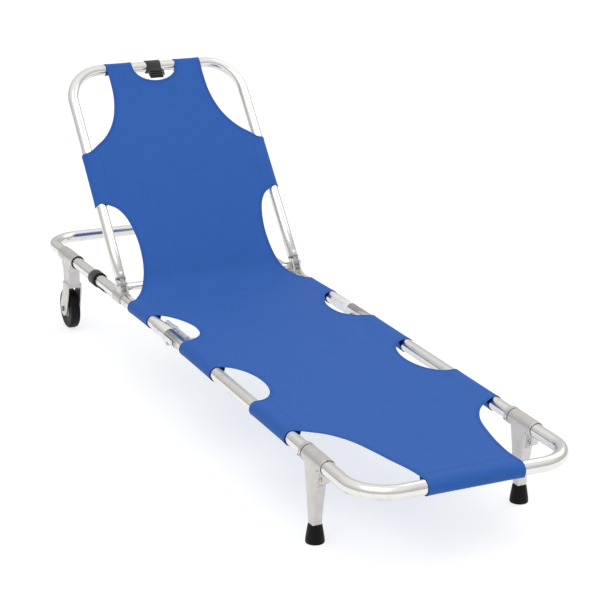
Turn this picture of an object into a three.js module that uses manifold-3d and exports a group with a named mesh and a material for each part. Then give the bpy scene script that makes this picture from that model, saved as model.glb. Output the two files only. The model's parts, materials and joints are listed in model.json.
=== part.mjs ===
// Folding stretcher with a reclining backrest: two aluminium tube frames that fold in half,
// a backrest frame, a fabric cover, two wheels at the head end and two legs at the foot end.
// Millimetres, +Z up, +Y towards the head end, origin on the floor under the middle of the open stretcher.

import * as THREE from 'three';
import { mergeVertices } from 'three/addons/utils/BufferGeometryUtils.js';
import Module from 'manifold-3d';

const wasm = await Module();
wasm.setup();

// ---- Driving dimensions -------------------------------------------------------------------

const FRAME_WIDTH = 510;          // over the two rails
const TUBE_R = 15.5;              // main frame tube
const TUBE_WALL = 2;
const HEAD_LENGTH = 950;          // fold line to the axis of the head-end tube
const FOOT_LENGTH = 1000;         // fold line to the axis of the foot-end tube
const BEND_R = 84;                // bend radius of the corners, on the tube axis
const RAIL_Z = 203.5;             // height of the rail axis above the floor, at the fold
const CAMBER = THREE.MathUtils.degToRad(1.6);   // the foot half slopes down this much when open
const GAP = 0.3;                  // clearance between pieces that touch

const BACK_TUBE_R = 13.7;
const BACK_TUBE_WALL = 1.8;
const BACK_LENGTH = 611;          // backrest pivot to the axis of its top tube
const BACK_BEND_R = 92;
const BACK_ANGLE = THREE.MathUtils.degToRad(50.5);   // rest angle above the horizontal
const HINGE_Y = 333;              // backrest pivot, headwards of the fold line
const HINGE_Z = 36;               // backrest pivot above the rail axis

const FOLD_PIVOT_Z = -21;         // fold pivot, below the rail axis
const FOLD_PIN_R = 2.5;
const JOINT_GAP = 1;              // gap between the two rail ends

const WHEEL_R = 55;
const WHEEL_WIDTH = 28;
const WHEEL_Y = 766;              // wheel axle, headwards of the fold line
const LEG_Y = -790;               // leg axis, footwards of the fold line
const FOOT_R = 20;                // rubber foot
const FOOT_HEIGHT = 41;

const CLOTH = 3;                  // thickness of the cover panels
const STRAP_T = 4.7;              // wound webbing on the rail

const RAIL_X = FRAME_WIDTH / 2 - TUBE_R;
const HEAD_END = HEAD_LENGTH + TUBE_R;
const FOOT_END = FOOT_LENGTH * Math.cos(CAMBER) - FOLD_PIVOT_Z * Math.sin(CAMBER) + TUBE_R;
const FOLD_Y = (FOOT_END - HEAD_END) / 2;            // puts the middle of the length at y = 0

// ---- Materials ----------------------------------------------------------------------------

const finish = (color, roughness, metalness) => () =>
  new THREE.MeshStandardMaterial({ color, roughness, metalness });
const aluminium = finish(0xd6d8da, 0.3, 1);
const castAlloy = finish(0xb9babb, 0.5, 1);
const zincSteel = finish(0xaab0b8, 0.35, 1);
const darkSteel = finish(0x5d6268, 0.4, 1);
const blackRubber = finish(0x17181a, 0.8, 0);
const blackNylon = finish(0x1b1c20, 0.7, 0);
const greyPlastic = finish(0x6d7176, 0.5, 0);
const blueCloth = finish(0x2f5fb0, 0.75, 0);

// ---- Small tools --------------------------------------------------------------------------

/** A closed geometry as a manifold solid. */
function solid(geometry) {
  const bare = geometry.index ? geometry.toNonIndexed() : geometry.clone();
  bare.deleteAttribute('normal');
  bare.deleteAttribute('uv');
  const merged = mergeVertices(bare, 1e-4);
  return new wasm.Manifold(new wasm.Mesh({
    numProp: 3,
    vertProperties: merged.attributes.position.array,
    triVerts: new Uint32Array(merged.index.array),
  }));
}

/** A manifold solid as a geometry. */
function geometryOf(body) {
  const mesh = body.getMesh();
  const geometry = new THREE.BufferGeometry();
  geometry.setAttribute('position', new THREE.BufferAttribute(mesh.vertProperties, 3));
  geometry.setIndex(new THREE.BufferAttribute(mesh.triVerts, 1));
  geometry.computeVertexNormals();
  return geometry;
}

const join = (...geometries) => geometryOf(geometries.map(solid).reduce((a, b) => a.add(b)));
const cut = (from, ...tools) =>
  geometryOf(tools.map(solid).reduce((body, tool) => body.subtract(tool), solid(from)));

/** A cylinder along the X axis from x0 to x1, with its axis through (y, z). */
const rodX = (r, x0, x1, y = 0, z = 0, sides = 20) =>
  new THREE.CylinderGeometry(r, r, Math.abs(x1 - x0), sides)
    .rotateZ(Math.PI / 2).translate((x0 + x1) / 2, y, z);

/** A cylinder along the Y axis from y0 to y1, with its axis through (x, z). */
const rodY = (r, y0, y1, x = 0, z = 0, sides = 28) =>
  new THREE.CylinderGeometry(r, r, Math.abs(y1 - y0), sides).translate(x, (y0 + y1) / 2, z);

/** A cylinder along the Z axis from z0 to z1, with its axis through (x, y). */
const rodZ = (r, z0, z1, x = 0, y = 0, sides = 24) =>
  new THREE.CylinderGeometry(r, r, Math.abs(z1 - z0), sides)
    .rotateX(Math.PI / 2).translate(x, y, (z0 + z1) / 2);

/** A box between two corners. */
const block = (x0, x1, y0, y1, z0, z1) =>
  new THREE.BoxGeometry(x1 - x0, y1 - y0, z1 - z0)
    .translate((x0 + x1) / 2, (y0 + y1) / 2, (z0 + z1) / 2);

/** An outline drawn in (y, z), as a plate from x0 to x1. */
function plateX(shape, x0, x1, curveSegments = 10) {
  const options = { depth: x1 - x0, bevelEnabled: false, curveSegments };
  return new THREE.ExtrudeGeometry(shape, options)
    .rotateX(Math.PI / 2).rotateZ(Math.PI / 2).translate(x0, 0, 0);
}

/** An outline drawn in (x, z), as a bar from y0 to y1. */
function barY(shape, y0, y1, curveSegments = 14) {
  const options = { depth: y1 - y0, bevelEnabled: false, curveSegments };
  return new THREE.ExtrudeGeometry(shape, options).rotateX(Math.PI / 2).translate(0, y1, 0);
}

/** An outline drawn in (x, y), as a sheet from z0 to z1. */
const sheetZ = (shape, z0, z1) =>
  new THREE.ExtrudeGeometry(shape, { depth: z1 - z0, bevelEnabled: false }).translate(0, 0, z0);

const polygon = (points) => new THREE.Shape(points.map(([x, y]) => new THREE.Vector2(x, y)));

/** A plate outline that is round about an eye at (y, z) and stands on a straight edge at baseZ. */
function lugShape(y, z, r, baseLow, baseHigh, baseZ) {
  const shape = new THREE.Shape();
  shape.moveTo(baseLow, baseZ);
  shape.lineTo(y - r, z);
  shape.absarc(y, z, r, Math.PI, 0, true);
  shape.lineTo(baseHigh, baseZ);
  shape.closePath();
  return shape;
}

/** A route of stations, each a point with its tangent, which an extrusion follows exactly. */
class Route extends THREE.Curve {
  constructor(stations) {
    super();
    this.stations = stations;
  }

  station(u) {
    return this.stations[Math.round(u * (this.stations.length - 1))];
  }

  getPoint(u, target = new THREE.Vector3()) {
    return target.copy(this.station(u).point);
  }

  getPointAt(u, target = new THREE.Vector3()) {
    return target.copy(this.station(u).point);
  }

  getTangentAt(u, target = new THREE.Vector3()) {
    return target.copy(this.station(u).tangent);
  }
}

/** The stations of a U: up one rail from `start`, round two corners at `end`, and back. */
function uStations(halfWidth, start, end, bendR, stepsPerBend = 7) {
  const way = Math.sign(end - start);
  const bendStart = end - way * bendR;
  const straight = halfWidth - bendR;
  const left = [{ point: new THREE.Vector3(-halfWidth, start, 0), tangent: new THREE.Vector3(0, way, 0) }];
  for (let i = 0; i <= stepsPerBend; i += 1) {
    const a = Math.PI / 2 * i / stepsPerBend;
    left.push({
      point: new THREE.Vector3(-straight - bendR * Math.cos(a), bendStart + way * bendR * Math.sin(a), 0),
      tangent: new THREE.Vector3(Math.sin(a), way * Math.cos(a), 0),
    });
  }
  const right = left.map(({ point, tangent }) => ({
    point: new THREE.Vector3(-point.x, point.y, 0),
    tangent: new THREE.Vector3(tangent.x, -tangent.y, 0),
  })).reverse();
  return [...left, ...right];
}

/** An open-ended round tube along a route of stations. */
function tubeAlong(stations, r, wall, sides = 20) {
  const section = new THREE.Shape().absarc(0, 0, r, 0, Math.PI * 2);
  section.holes.push(new THREE.Path().absarc(0, 0, r - wall, 0, Math.PI * 2));
  const curveSegments = sides / 2;
  const options = { steps: stations.length - 1, curveSegments, extrudePath: new Route(stations) };
  return new THREE.ExtrudeGeometry(section, options);
}

/** A turned piece about the X axis from a profile of [radius, x] pairs. */
const turnedX = (profile, segments = 32) =>
  new THREE.LatheGeometry(profile.map(([r, x]) => new THREE.Vector2(r, x)), segments).rotateZ(-Math.PI / 2);

/** A turned piece about the Z axis from a profile of [radius, z] pairs. */
const turnedZ = (profile, segments = 24) =>
  new THREE.LatheGeometry(profile.map(([r, z]) => new THREE.Vector2(r, z)), segments).rotateX(Math.PI / 2);

/** A round bush about the X axis. */
const ringX = (inner, outer, x0, x1, segments = 20) =>
  turnedX([[inner, x0], [outer, x0], [outer, x1], [inner, x1], [inner, x0]], segments);

// ---- The scene graph ----------------------------------------------------------------------

const stretcher = new THREE.Group();

/** The head half: y counts from the fold line and z from the rail axis. */
const headHalf = new THREE.Group();
headHalf.position.set(0, FOLD_Y, RAIL_Z);

/** The foot half, turned down by the camber about the fold pivot, with the same local axes. */
const foldPivot = new THREE.Group();
foldPivot.position.set(0, FOLD_Y, RAIL_Z + FOLD_PIVOT_Z);
foldPivot.rotation.x = CAMBER;
const footHalf = new THREE.Group();
footHalf.position.z = -FOLD_PIVOT_Z;
foldPivot.add(footHalf);

/** The backrest: y runs up the backrest from its pivot, and z is square to it, to the front. */
const backrest = new THREE.Group();
backrest.position.set(0, HINGE_Y, HINGE_Z);
backrest.rotation.x = BACK_ANGLE;
headHalf.add(backrest);
stretcher.add(headHalf, foldPivot);

/** A named mesh in a group. */
function addPiece(group, name, geometry, material, x = 0, y = 0, z = 0) {
  const mesh = new THREE.Mesh(geometry, material());
  mesh.name = name;
  mesh.position.set(x, y, z);
  group.add(mesh);
  return mesh;
}

/** The two sides of the stretcher. `inward` points from a rail to the middle. */
const SIDES = [
  { label: 'left', x: -RAIL_X, inward: 1 },
  { label: 'right', x: RAIL_X, inward: -1 },
];

// ---- Frame tubes --------------------------------------------------------------------------

addPiece(headHalf, 'head_frame_tube',
  tubeAlong(uStations(RAIL_X, JOINT_GAP / 2, HEAD_LENGTH, BEND_R), TUBE_R, TUBE_WALL), aluminium);
addPiece(footHalf, 'foot_frame_tube',
  tubeAlong(uStations(RAIL_X, -JOINT_GAP / 2, -FOOT_LENGTH, BEND_R), TUBE_R, TUBE_WALL), aluminium);

// ---- Fold hinges --------------------------------------------------------------------------

const SADDLE_IN = TUBE_R + GAP;
const SADDLE_T = 2;
const SADDLE_OUT = SADDLE_IN + SADDLE_T;
const SADDLE_TOP = 4;             // height of the saddle's outer side over the rail axis
const LATCH_WALL_TOP = 9;         // its inner side is higher and carries the latch
const LUG_R = 4.8;
const LUG_T = 3;
const LUG_CLEAR = 9;              // the saddle's bottom stops this far from the fold line
const LUG_BASE = 26;
const HEAD_SADDLE = 76;           // length of each saddle along the rail
const FOOT_SADDLE = 52;
const HEAD_LUG_X = 8;             // lugs of the head half straddle those of the foot half
const FOOT_LUG_X = 4;
const LATCH_PIVOT_Y = -42;
const LATCH_STUD_R = 2.6;
const LATCH_T = 4.5;
const LATCH_NOSE_Y = 12;
const LATCH_NOSE_Z = 3;
const LATCH_NOSE_R = 2.5;

/** Saddle section in (x, z): wraps the rail from one side under to the other. */
function saddleSection(inward) {
  const shape = new THREE.Shape();
  const innerTop = inward > 0 ? LATCH_WALL_TOP : SADDLE_TOP;
  const outerTop = inward > 0 ? SADDLE_TOP : LATCH_WALL_TOP;
  shape.moveTo(SADDLE_OUT, innerTop);
  shape.lineTo(SADDLE_IN, innerTop);
  shape.lineTo(SADDLE_IN, 0);
  shape.absarc(0, 0, SADDLE_IN, 0, -Math.PI, true);
  shape.lineTo(-SADDLE_IN, outerTop);
  shape.lineTo(-SADDLE_OUT, outerTop);
  shape.lineTo(-SADDLE_OUT, 0);
  shape.absarc(0, 0, SADDLE_OUT, Math.PI, 2 * Math.PI, false);
  shape.closePath();
  return shape;
}

/** One half of a fold hinge. `way` is +1 on the head half and -1 on the foot half. */
function foldBracket(way, length, lugX, inward) {
  const near = way * JOINT_GAP / 2;
  const far = way * length;
  const saddle = barY(saddleSection(inward), Math.min(near, far), Math.max(near, far));
  const clearance = way > 0
    ? block(-12, 12, -1, LUG_CLEAR, -20, -8)
    : block(-12, 12, -LUG_CLEAR, 1, -20, -8);
  const lugs = [-lugX, lugX].map((x) => {
    const baseZ = -Math.sqrt((SADDLE_IN + SADDLE_T / 2) ** 2 - x * x);
    const low = way > 0 ? LUG_CLEAR + 1 : -LUG_BASE;
    const high = way > 0 ? LUG_BASE : -LUG_CLEAR - 1;
    return plateX(polygon(hangingLug(low, high, baseZ)), x - LUG_T / 2, x + LUG_T / 2);
  });
  return cut(join(cut(saddle, clearance), ...lugs),
    rodX(FOLD_PIN_R + GAP, -30, 30, 0, FOLD_PIVOT_Z));
}

/** The outline, in (y, z), of a lug round the fold pin that hangs from a saddle. */
function hangingLug(low, high, baseZ) {
  const points = [];
  const steps = 12;
  const towardsHead = low > 0;
  const first = towardsHead ? Math.PI / 2 : Math.PI * 1.5;
  for (let i = 0; i <= steps; i += 1) {
    const a = first + Math.PI * i / steps;
    points.push([LUG_R * Math.cos(a), FOLD_PIVOT_Z + LUG_R * Math.sin(a)]);
  }
  if (towardsHead) points.push([high, FOLD_PIVOT_Z + LUG_R * 0.4], [high, baseZ], [low, baseZ]);
  else points.push([high, baseZ], [low, baseZ], [low, FOLD_PIVOT_Z + LUG_R * 0.4]);
  return points;
}

/** The notch in the head saddle where the latch nose rests; it opens up and towards the fold. */
function latchNotch(inward) {
  const z0 = LATCH_NOSE_Z - LATCH_NOSE_R - 0.6;
  const outline = [
    [LATCH_NOSE_Y + LATCH_NOSE_R + 0.8, z0],
    [LATCH_NOSE_Y + LATCH_NOSE_R + 0.8, LATCH_WALL_TOP + 3],
    [-2, LATCH_WALL_TOP + 3],
    [-2, z0 + 3.2],
    [LATCH_NOSE_Y - LATCH_NOSE_R - 1.5, z0],
  ];
  const x0 = SADDLE_IN - 0.6;
  const x1 = SADDLE_OUT + 0.6;
  return inward > 0 ? plateX(polygon(outline), x0, x1) : plateX(polygon(outline), -x1, -x0);
}

/** The latch: a long sprung lever with a round nose and a thumb pad; x grows towards the middle. */
function latchLever() {
  const outline = polygon([
    [LATCH_PIVOT_Y - 6, -5], [LATCH_PIVOT_Y + 6, -5], [-22, 2], [6, 0], [17, 0], [24, 4], [66, 6.5],
    [72, 9], [71, 11.5], [30, 12], [14, 14.5], [2, 14.5], [-12, 12], [-62, 12.5], [-88, 13.5],
    [-89, 10], [-62, 6.5], [LATCH_PIVOT_Y - 9, 2],
  ]);
  const inner = SADDLE_OUT + GAP;
  const plate = plateX(outline, inner, inner + LATCH_T);
  const nose = rodX(LATCH_NOSE_R, SADDLE_IN + 0.3, inner + 1, LATCH_NOSE_Y, LATCH_NOSE_Z, 14);
  const thumb = block(inner, inner + 11, -88, -74, 11.4, 13.3);
  return cut(join(plate, nose, thumb), rodX(LATCH_STUD_R + GAP, 0, 60, LATCH_PIVOT_Y, 0));
}

/** The torsion spring of a latch: a few turns round its stud. */
function latchSpring() {
  const turns = 3;
  const steps = 30;
  const coilR = 4.9;
  const pitch = 1.5;
  const stations = [];
  for (let i = 0; i <= steps; i += 1) {
    const a = 2 * Math.PI * turns * i / steps;
    stations.push({
      point: new THREE.Vector3(pitch * turns * i / steps, coilR * Math.cos(a), coilR * Math.sin(a)),
      tangent: new THREE.Vector3(pitch / (2 * Math.PI), -coilR * Math.sin(a), coilR * Math.cos(a)).normalize(),
    });
  }
  const wire = new THREE.Shape().absarc(0, 0, 0.6, 0, Math.PI * 2);
  const options = { steps, curveSegments: 3, extrudePath: new Route(stations) };
  return new THREE.ExtrudeGeometry(wire, options);
}

const mirrored = (geometry, inward) => (inward > 0 ? geometry : flipX(geometry));

/** The mirror image of a geometry through x = 0, with its faces kept pointing out. */
function flipX(geometry) {
  const copy = (geometry.index ? geometry.toNonIndexed() : geometry.clone()).scale(-1, 1, 1);
  const position = copy.attributes.position;
  for (let i = 0; i < position.count; i += 3) {
    const a = new THREE.Vector3().fromBufferAttribute(position, i + 1);
    const b = new THREE.Vector3().fromBufferAttribute(position, i + 2);
    position.setXYZ(i + 1, b.x, b.y, b.z);
    position.setXYZ(i + 2, a.x, a.y, a.z);
  }
  copy.deleteAttribute('uv');
  copy.computeVertexNormals();
  return copy;
}

for (const { label, x, inward } of SIDES) {
  const latchX = SADDLE_OUT + GAP + LATCH_T;
  const headBracket = cut(foldBracket(1, HEAD_SADDLE, HEAD_LUG_X, inward), latchNotch(inward));
  addPiece(headHalf, `fold_bracket_head_${label}`, headBracket, zincSteel, x);
  const studHole = mirrored(rodX(LATCH_STUD_R + GAP, 10, 30, LATCH_PIVOT_Y, 0), inward);
  addPiece(footHalf, `fold_bracket_foot_${label}`,
    cut(foldBracket(-1, FOOT_SADDLE, FOOT_LUG_X, inward), studHole), zincSteel, x);

  const headX = HEAD_LUG_X + LUG_T / 2 + GAP;
  const pin = join(rodX(FOLD_PIN_R, -headX - 1, headX + 1, 0, FOLD_PIVOT_Z),
    rodX(3.8, headX, headX + 1.8, 0, FOLD_PIVOT_Z),
    rodX(3.8, -headX - 1.8, -headX, 0, FOLD_PIVOT_Z));
  addPiece(headHalf, `fold_pin_${label}`, pin, zincSteel, x);

  addPiece(footHalf, `latch_lever_${label}`, mirrored(latchLever(), inward), zincSteel, x);
  const springRoom = 6.4;
  const stud = join(rodX(LATCH_STUD_R, TUBE_R + GAP + 0.1, latchX + springRoom + 1, LATCH_PIVOT_Y, 0),
    rodX(6.5, latchX + springRoom, latchX + springRoom + 2, LATCH_PIVOT_Y, 0));
  addPiece(footHalf, `latch_stud_${label}`, mirrored(stud, inward), zincSteel, x);
  const spring = latchSpring().translate(latchX + 0.95, LATCH_PIVOT_Y, 0);
  addPiece(footHalf, `latch_spring_${label}`, mirrored(spring, inward), darkSteel, x);
}

// ---- Backrest hinges ----------------------------------------------------------------------

const HINGE_HALF = 26;            // half length of the hinge block along the rail
const HINGE_SADDLE_R = TUBE_R + GAP + 2.5;
const HINGE_LUG_R = 11;
const TONGUE_HALF = 5;            // half thickness of the tongue between the lugs
const WASHER_T = 1.2;
const HINGE_LUG_IN = TONGUE_HALF + WASHER_T + 2 * GAP;
const HINGE_LUG_OUT = HINGE_LUG_IN + 4;
const HINGE_BOLT_R = 4;
const BACK_TUBE_START = 16;       // the backrest tube begins this far up from its pivot
const RIVET_UP = 24;              // rivet through the tube and its end plug
const RIVET_R = 2.5;

/** The block that straddles a rail and carries a backrest pivot. */
function backrestHinge() {
  const saddle = cut(rodY(HINGE_SADDLE_R, -HINGE_HALF, HINGE_HALF),
    rodY(TUBE_R + GAP, -HINGE_HALF - 1, HINGE_HALF + 1),
    block(-30, 30, -HINGE_HALF - 1, HINGE_HALF + 1, -30, -9));
  const lug = lugShape(0, HINGE_Z, HINGE_LUG_R, -22, 12, 13);
  const base = block(-HINGE_LUG_OUT, HINGE_LUG_OUT, -22, 22, TUBE_R + GAP + 0.2, HINGE_SADDLE_R + 1.2);
  const body = join(saddle, base,
    plateX(lug, HINGE_LUG_IN, HINGE_LUG_OUT), plateX(lug, -HINGE_LUG_OUT, -HINGE_LUG_IN));
  return cut(body, rodX(HINGE_BOLT_R + GAP, -40, 40, 0, HINGE_Z),
    rodY(TUBE_R + GAP, -HINGE_HALF - 1, HINGE_HALF + 1));
}

/** The plug in the end of a backrest leg, with the tongue that turns on the pivot bolt. */
function endPlug() {
  const plug = rodY(BACK_TUBE_R - BACK_TUBE_WALL - GAP, BACK_TUBE_START - 2, BACK_TUBE_START + 30);
  const collar = rodY(BACK_TUBE_R - 0.3, BACK_TUBE_START - 3.5, BACK_TUBE_START - GAP);
  const tongue = join(rodX(9.5, -TONGUE_HALF, TONGUE_HALF, 0, 0, 24),
    block(-TONGUE_HALF, TONGUE_HALF, 0, BACK_TUBE_START - 1, -9.5, 9.5));
  return cut(join(plug, collar, tongue), rodX(HINGE_BOLT_R + GAP, -20, 20),
    rodZ(RIVET_R + GAP, -20, 20, 0, RIVET_UP));
}

const backTube = cut(
  tubeAlong(uStations(RAIL_X, BACK_TUBE_START, BACK_LENGTH, BACK_BEND_R), BACK_TUBE_R, BACK_TUBE_WALL),
  rodZ(RIVET_R + GAP, -20, 20, -RAIL_X, RIVET_UP), rodZ(RIVET_R + GAP, -20, 20, RAIL_X, RIVET_UP));
addPiece(backrest, 'backrest_tube', backTube, aluminium);

for (const { label, x, inward } of SIDES) {
  addPiece(headHalf, `backrest_hinge_${label}`, backrestHinge(), zincSteel, x, HINGE_Y);
  addPiece(backrest, `backrest_end_plug_${label}`, endPlug(), greyPlastic, x);
  addPiece(backrest, `backrest_rivet_${label}`,
    join(rodZ(RIVET_R, -BACK_TUBE_R - 0.6, BACK_TUBE_R + 0.6, 0, RIVET_UP),
      rodZ(4.2, BACK_TUBE_R + 0.2, BACK_TUBE_R + 1.6, 0, RIVET_UP)), zincSteel, x);
  for (const [end, way] of [['outer', -inward], ['inner', inward]]) {
    const washer = ringX(HINGE_BOLT_R + GAP, 9, TONGUE_HALF + GAP, TONGUE_HALF + GAP + WASHER_T);
    addPiece(headHalf, `friction_washer_${label}_${end}`, mirrored(washer, way), zincSteel,
      x, HINGE_Y, HINGE_Z);
  }
  const bolt = join(rodX(HINGE_BOLT_R, -HINGE_LUG_OUT - 1, HINGE_LUG_OUT),
    rodX(7, -HINGE_LUG_OUT - 5, -HINGE_LUG_OUT - GAP, 0, 0, 6));
  addPiece(headHalf, `backrest_bolt_${label}`, mirrored(bolt, inward), zincSteel, x, HINGE_Y, HINGE_Z);
}

const CROSS_TUBE_R = 10;
const CROSS_TUBE_Z = 26;
const crossEnd = RAIL_X - HINGE_LUG_OUT - GAP;
addPiece(headHalf, 'cross_tube',
  cut(rodX(CROSS_TUBE_R, -crossEnd, crossEnd, 0, 0, 24), rodX(CROSS_TUBE_R - 1.5, -300, 300, 0, 0, 24)),
  aluminium, 0, HINGE_Y, CROSS_TUBE_Z);

// ---- Wheels -------------------------------------------------------------------------------

const FORK_T = 4;
const FORK_IN = WHEEL_WIDTH / 2 + 2;
const FORK_OUT = FORK_IN + FORK_T;
const AXLE_Z = WHEEL_R - RAIL_Z;  // axle height in the head half's axes
const AXLE_R = 4;
const CLAMP_HEAD = 34;            // the clamp reaches this far headwards of the axle
const CLAMP_FOOT = 82;            // and this far footwards
const CLAMP_OUT = 18.7;
const MOUTH_OUT = 19.9;           // its footward mouth is flared
const ARCH_Z = AXLE_Z + WHEEL_R + 13;   // underside of the crown, over the tyre
const STEM_FOOT = -46;            // the stem stands footwards of the axle
const STEM_HEAD = -2;
const STEM_HALF = 15.7;
const HUB_R = 24;
const BEARING_R = 11;

/** The cast bracket: a clamp round the rail, a stem and a fork; y counts from the axle. */
function wheelBracket() {
  const sleeve = rodY(CLAMP_OUT, -CLAMP_FOOT, CLAMP_HEAD);
  const mouth = new THREE.CylinderGeometry(CLAMP_OUT, MOUTH_OUT, 16, 28).translate(0, -CLAMP_FOOT + 8, 0);
  const stem = plateX(polygon([
    [STEM_FOOT - 15, -9], [STEM_FOOT - 2, -32], [STEM_FOOT, ARCH_Z + 8], [STEM_HEAD, ARCH_Z + 8],
    [STEM_HEAD + 3, -34], [STEM_HEAD + 16, -9],
  ]), -STEM_HALF, STEM_HALF);
  const forkOutline = [
    [STEM_FOOT, 80], [STEM_FOOT - 1, 62], [-43, 44], [-37, 24], [-31, 6], [-24, -8], [-13, -17], [0, -20.5],
    [12, -18], [21, -9.5], [24.5, 2], [21, 16], [11, 34], [2, 52], [STEM_HEAD, 62], [STEM_HEAD, 80],
  ];
  const fork = plateX(polygon(forkOutline.map(([y, z]) => [y, AXLE_Z + z])), -FORK_OUT, FORK_OUT);
  const wheelRoom = block(-FORK_IN, FORK_IN, -70, 70, AXLE_Z - 40, ARCH_Z);
  const flare = new THREE.CylinderGeometry(15, 18.9, 14, 28).translate(0, -CLAMP_FOOT + 4, 0);
  return cut(join(sleeve, mouth, stem, fork), wheelRoom, rodY(TUBE_R + GAP, -90, 90), flare,
    rodX(AXLE_R + GAP, -40, 40, 0, AXLE_Z));
}

/** The tyre: a solid rubber band with a rounded tread. */
function tyre() {
  const w = WHEEL_WIDTH / 2;
  const profile = [
    [HUB_R, -w + 3], [WHEEL_R - 5, -w], [WHEEL_R - 1.5, -w + 3], [WHEEL_R, -w + 8], [WHEEL_R, w - 8],
    [WHEEL_R - 1.5, w - 3], [WHEEL_R - 5, w], [HUB_R, w - 3], [HUB_R, -w + 3],
  ];
  return turnedX(profile, 36);
}

/** The hub: a grey plastic disc with a raised boss and rim, bored for a bearing at each side. */
function hub() {
  const w = WHEEL_WIDTH / 2 - 3;
  const rim = HUB_R - GAP;
  const half = [
    [AXLE_R + 2.2, 2], [BEARING_R + GAP, 2], [BEARING_R + GAP, w + 1], [14.5, w + 1], [16.5, w - 2.5],
    [rim - 3, w - 2.5], [rim - 1.5, w], [rim, w],
  ];
  const profile = [...half.map(([r, x]) => [r, -x]), ...half.slice().reverse(), [AXLE_R + 2.2, -2]];
  return turnedX(profile, 32);
}

for (const { label, x, inward } of SIDES) {
  addPiece(headHalf, `wheel_bracket_${label}`, wheelBracket(), castAlloy, x, WHEEL_Y);
  addPiece(headHalf, `tyre_${label}`, tyre(), blackRubber, x, WHEEL_Y, AXLE_Z);
  addPiece(headHalf, `wheel_hub_${label}`, hub(), greyPlastic, x, WHEEL_Y, AXLE_Z);
  for (const [end, way] of [['outer', -inward], ['inner', inward]]) {
    const bearing = ringX(AXLE_R + GAP, BEARING_R, 2 + GAP, 9.6);
    addPiece(headHalf, `wheel_bearing_${label}_${end}`, mirrored(bearing, way), zincSteel,
      x, WHEEL_Y, AXLE_Z);
  }
  const head = FORK_OUT + GAP;
  const axle = join(rodX(AXLE_R, -head - 2, head + 2), rodX(7, head, head + 4, 0, 0, 6),
    rodX(7, -head - 3, -head, 0, 0, 18));
  addPiece(headHalf, `axle_${label}`, mirrored(axle, inward), darkSteel, x, WHEEL_Y, AXLE_Z);
}

// ---- Legs ---------------------------------------------------------------------------------

const LEG_CLAMP_HEAD = 29;        // the clamp reaches this far headwards of the leg axis
const LEG_CLAMP_FOOT = 57;
const LEG_CLAMP_OUT = 18.6;
const POST_SHIFT = -7;            // the post leans this far footwards at its top
const COLLAR_LENGTH = 11;
const COLLAR_OUT = 19;
const COLLAR_SPACE = 1.6;
const SPIGOT_R = 11;

/** The height of the rail axis above the floor at the legs. */
const legDrop = RAIL_Z + FOLD_PIVOT_Z + LEG_Y * Math.sin(CAMBER) - FOLD_PIVOT_Z * Math.cos(CAMBER);

/** A tapered post with rounded corners, from z1 at the top, where it is moved by `shift`, down to z0. */
function taperedPost(z0, z1, top, bottom, shift) {
  const outline = new THREE.Shape();
  const c = 0.45;
  outline.moveTo(-1 + c, -1);
  outline.lineTo(1 - c, -1);
  outline.quadraticCurveTo(1, -1, 1, -1 + c);
  outline.lineTo(1, 1 - c);
  outline.quadraticCurveTo(1, 1, 1 - c, 1);
  outline.lineTo(-1 + c, 1);
  outline.quadraticCurveTo(-1, 1, -1, 1 - c);
  outline.lineTo(-1, -1 + c);
  outline.quadraticCurveTo(-1, -1, -1 + c, -1);
  const options = { depth: 1, steps: 5, bevelEnabled: false, curveSegments: 4 };
  const geometry = new THREE.ExtrudeGeometry(outline, options);
  const position = geometry.attributes.position;
  for (let i = 0; i < position.count; i += 1) {
    const t = position.getZ(i);
    const ease = Math.pow(t, 1.6);
    const halfX = bottom[0] + (top[0] - bottom[0]) * t;
    const halfY = bottom[1] + (top[1] - bottom[1]) * ease;
    position.setXYZ(i, position.getX(i) * halfX, position.getY(i) * halfY + shift * ease, z0 + (z1 - z0) * t);
  }
  geometry.computeVertexNormals();
  return geometry;
}

/** The cast leg, upright, with a clamp that follows the sloping rail; z counts from the rail axis. */
function legCasting() {
  const tilt = (geometry) => geometry.rotateX(CAMBER);
  const bottom = -legDrop + FOOT_HEIGHT;
  const sleeve = tilt(rodY(LEG_CLAMP_OUT, -LEG_CLAMP_FOOT, LEG_CLAMP_HEAD));
  const post = taperedPost(bottom - 1, -6, [16.5, 32], [11.4, 11.8], POST_SHIFT);
  const spigot = rodZ(SPIGOT_R, -legDrop + 9, bottom + 4);
  const ear = tilt(plateX(polygon([
    [-LEG_CLAMP_FOOT + 1, -12], [-LEG_CLAMP_FOOT + 2, -29], [-LEG_CLAMP_FOOT + 7, -36],
    [-LEG_CLAMP_FOOT + 16, -39], [-22, -56], [-20, -12],
  ]), -8, 8));
  return cut(join(sleeve, post, spigot, ear), tilt(rodY(TUBE_R + GAP, -90, 90)),
    tilt(rodX(3, -30, 30, -LEG_CLAMP_FOOT + 12, -29)));
}

/** The flared rubber foot, with its flat sole at z = 0. */
function rubberFoot() {
  const inside = SPIGOT_R + GAP;
  return turnedZ([
    [0, 0], [FOOT_R - 2.5, 0], [FOOT_R - 0.6, 1.2], [FOOT_R, 3.5], [FOOT_R - 0.8, 12],
    [15, FOOT_HEIGHT - 1.5], [14.4, FOOT_HEIGHT - GAP - 1], [inside, FOOT_HEIGHT - GAP - 1],
    [inside, 9 - GAP], [0, 9 - GAP],
  ]);
}

/** The split ring that locks a leg's clamp on the rail. */
function collar() {
  return cut(rodY(COLLAR_OUT, 0, COLLAR_LENGTH), rodY(TUBE_R + GAP, -1, COLLAR_LENGTH + 1),
    block(-1.5, 1.5, -1, COLLAR_LENGTH + 1, -30, 0));
}

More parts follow.
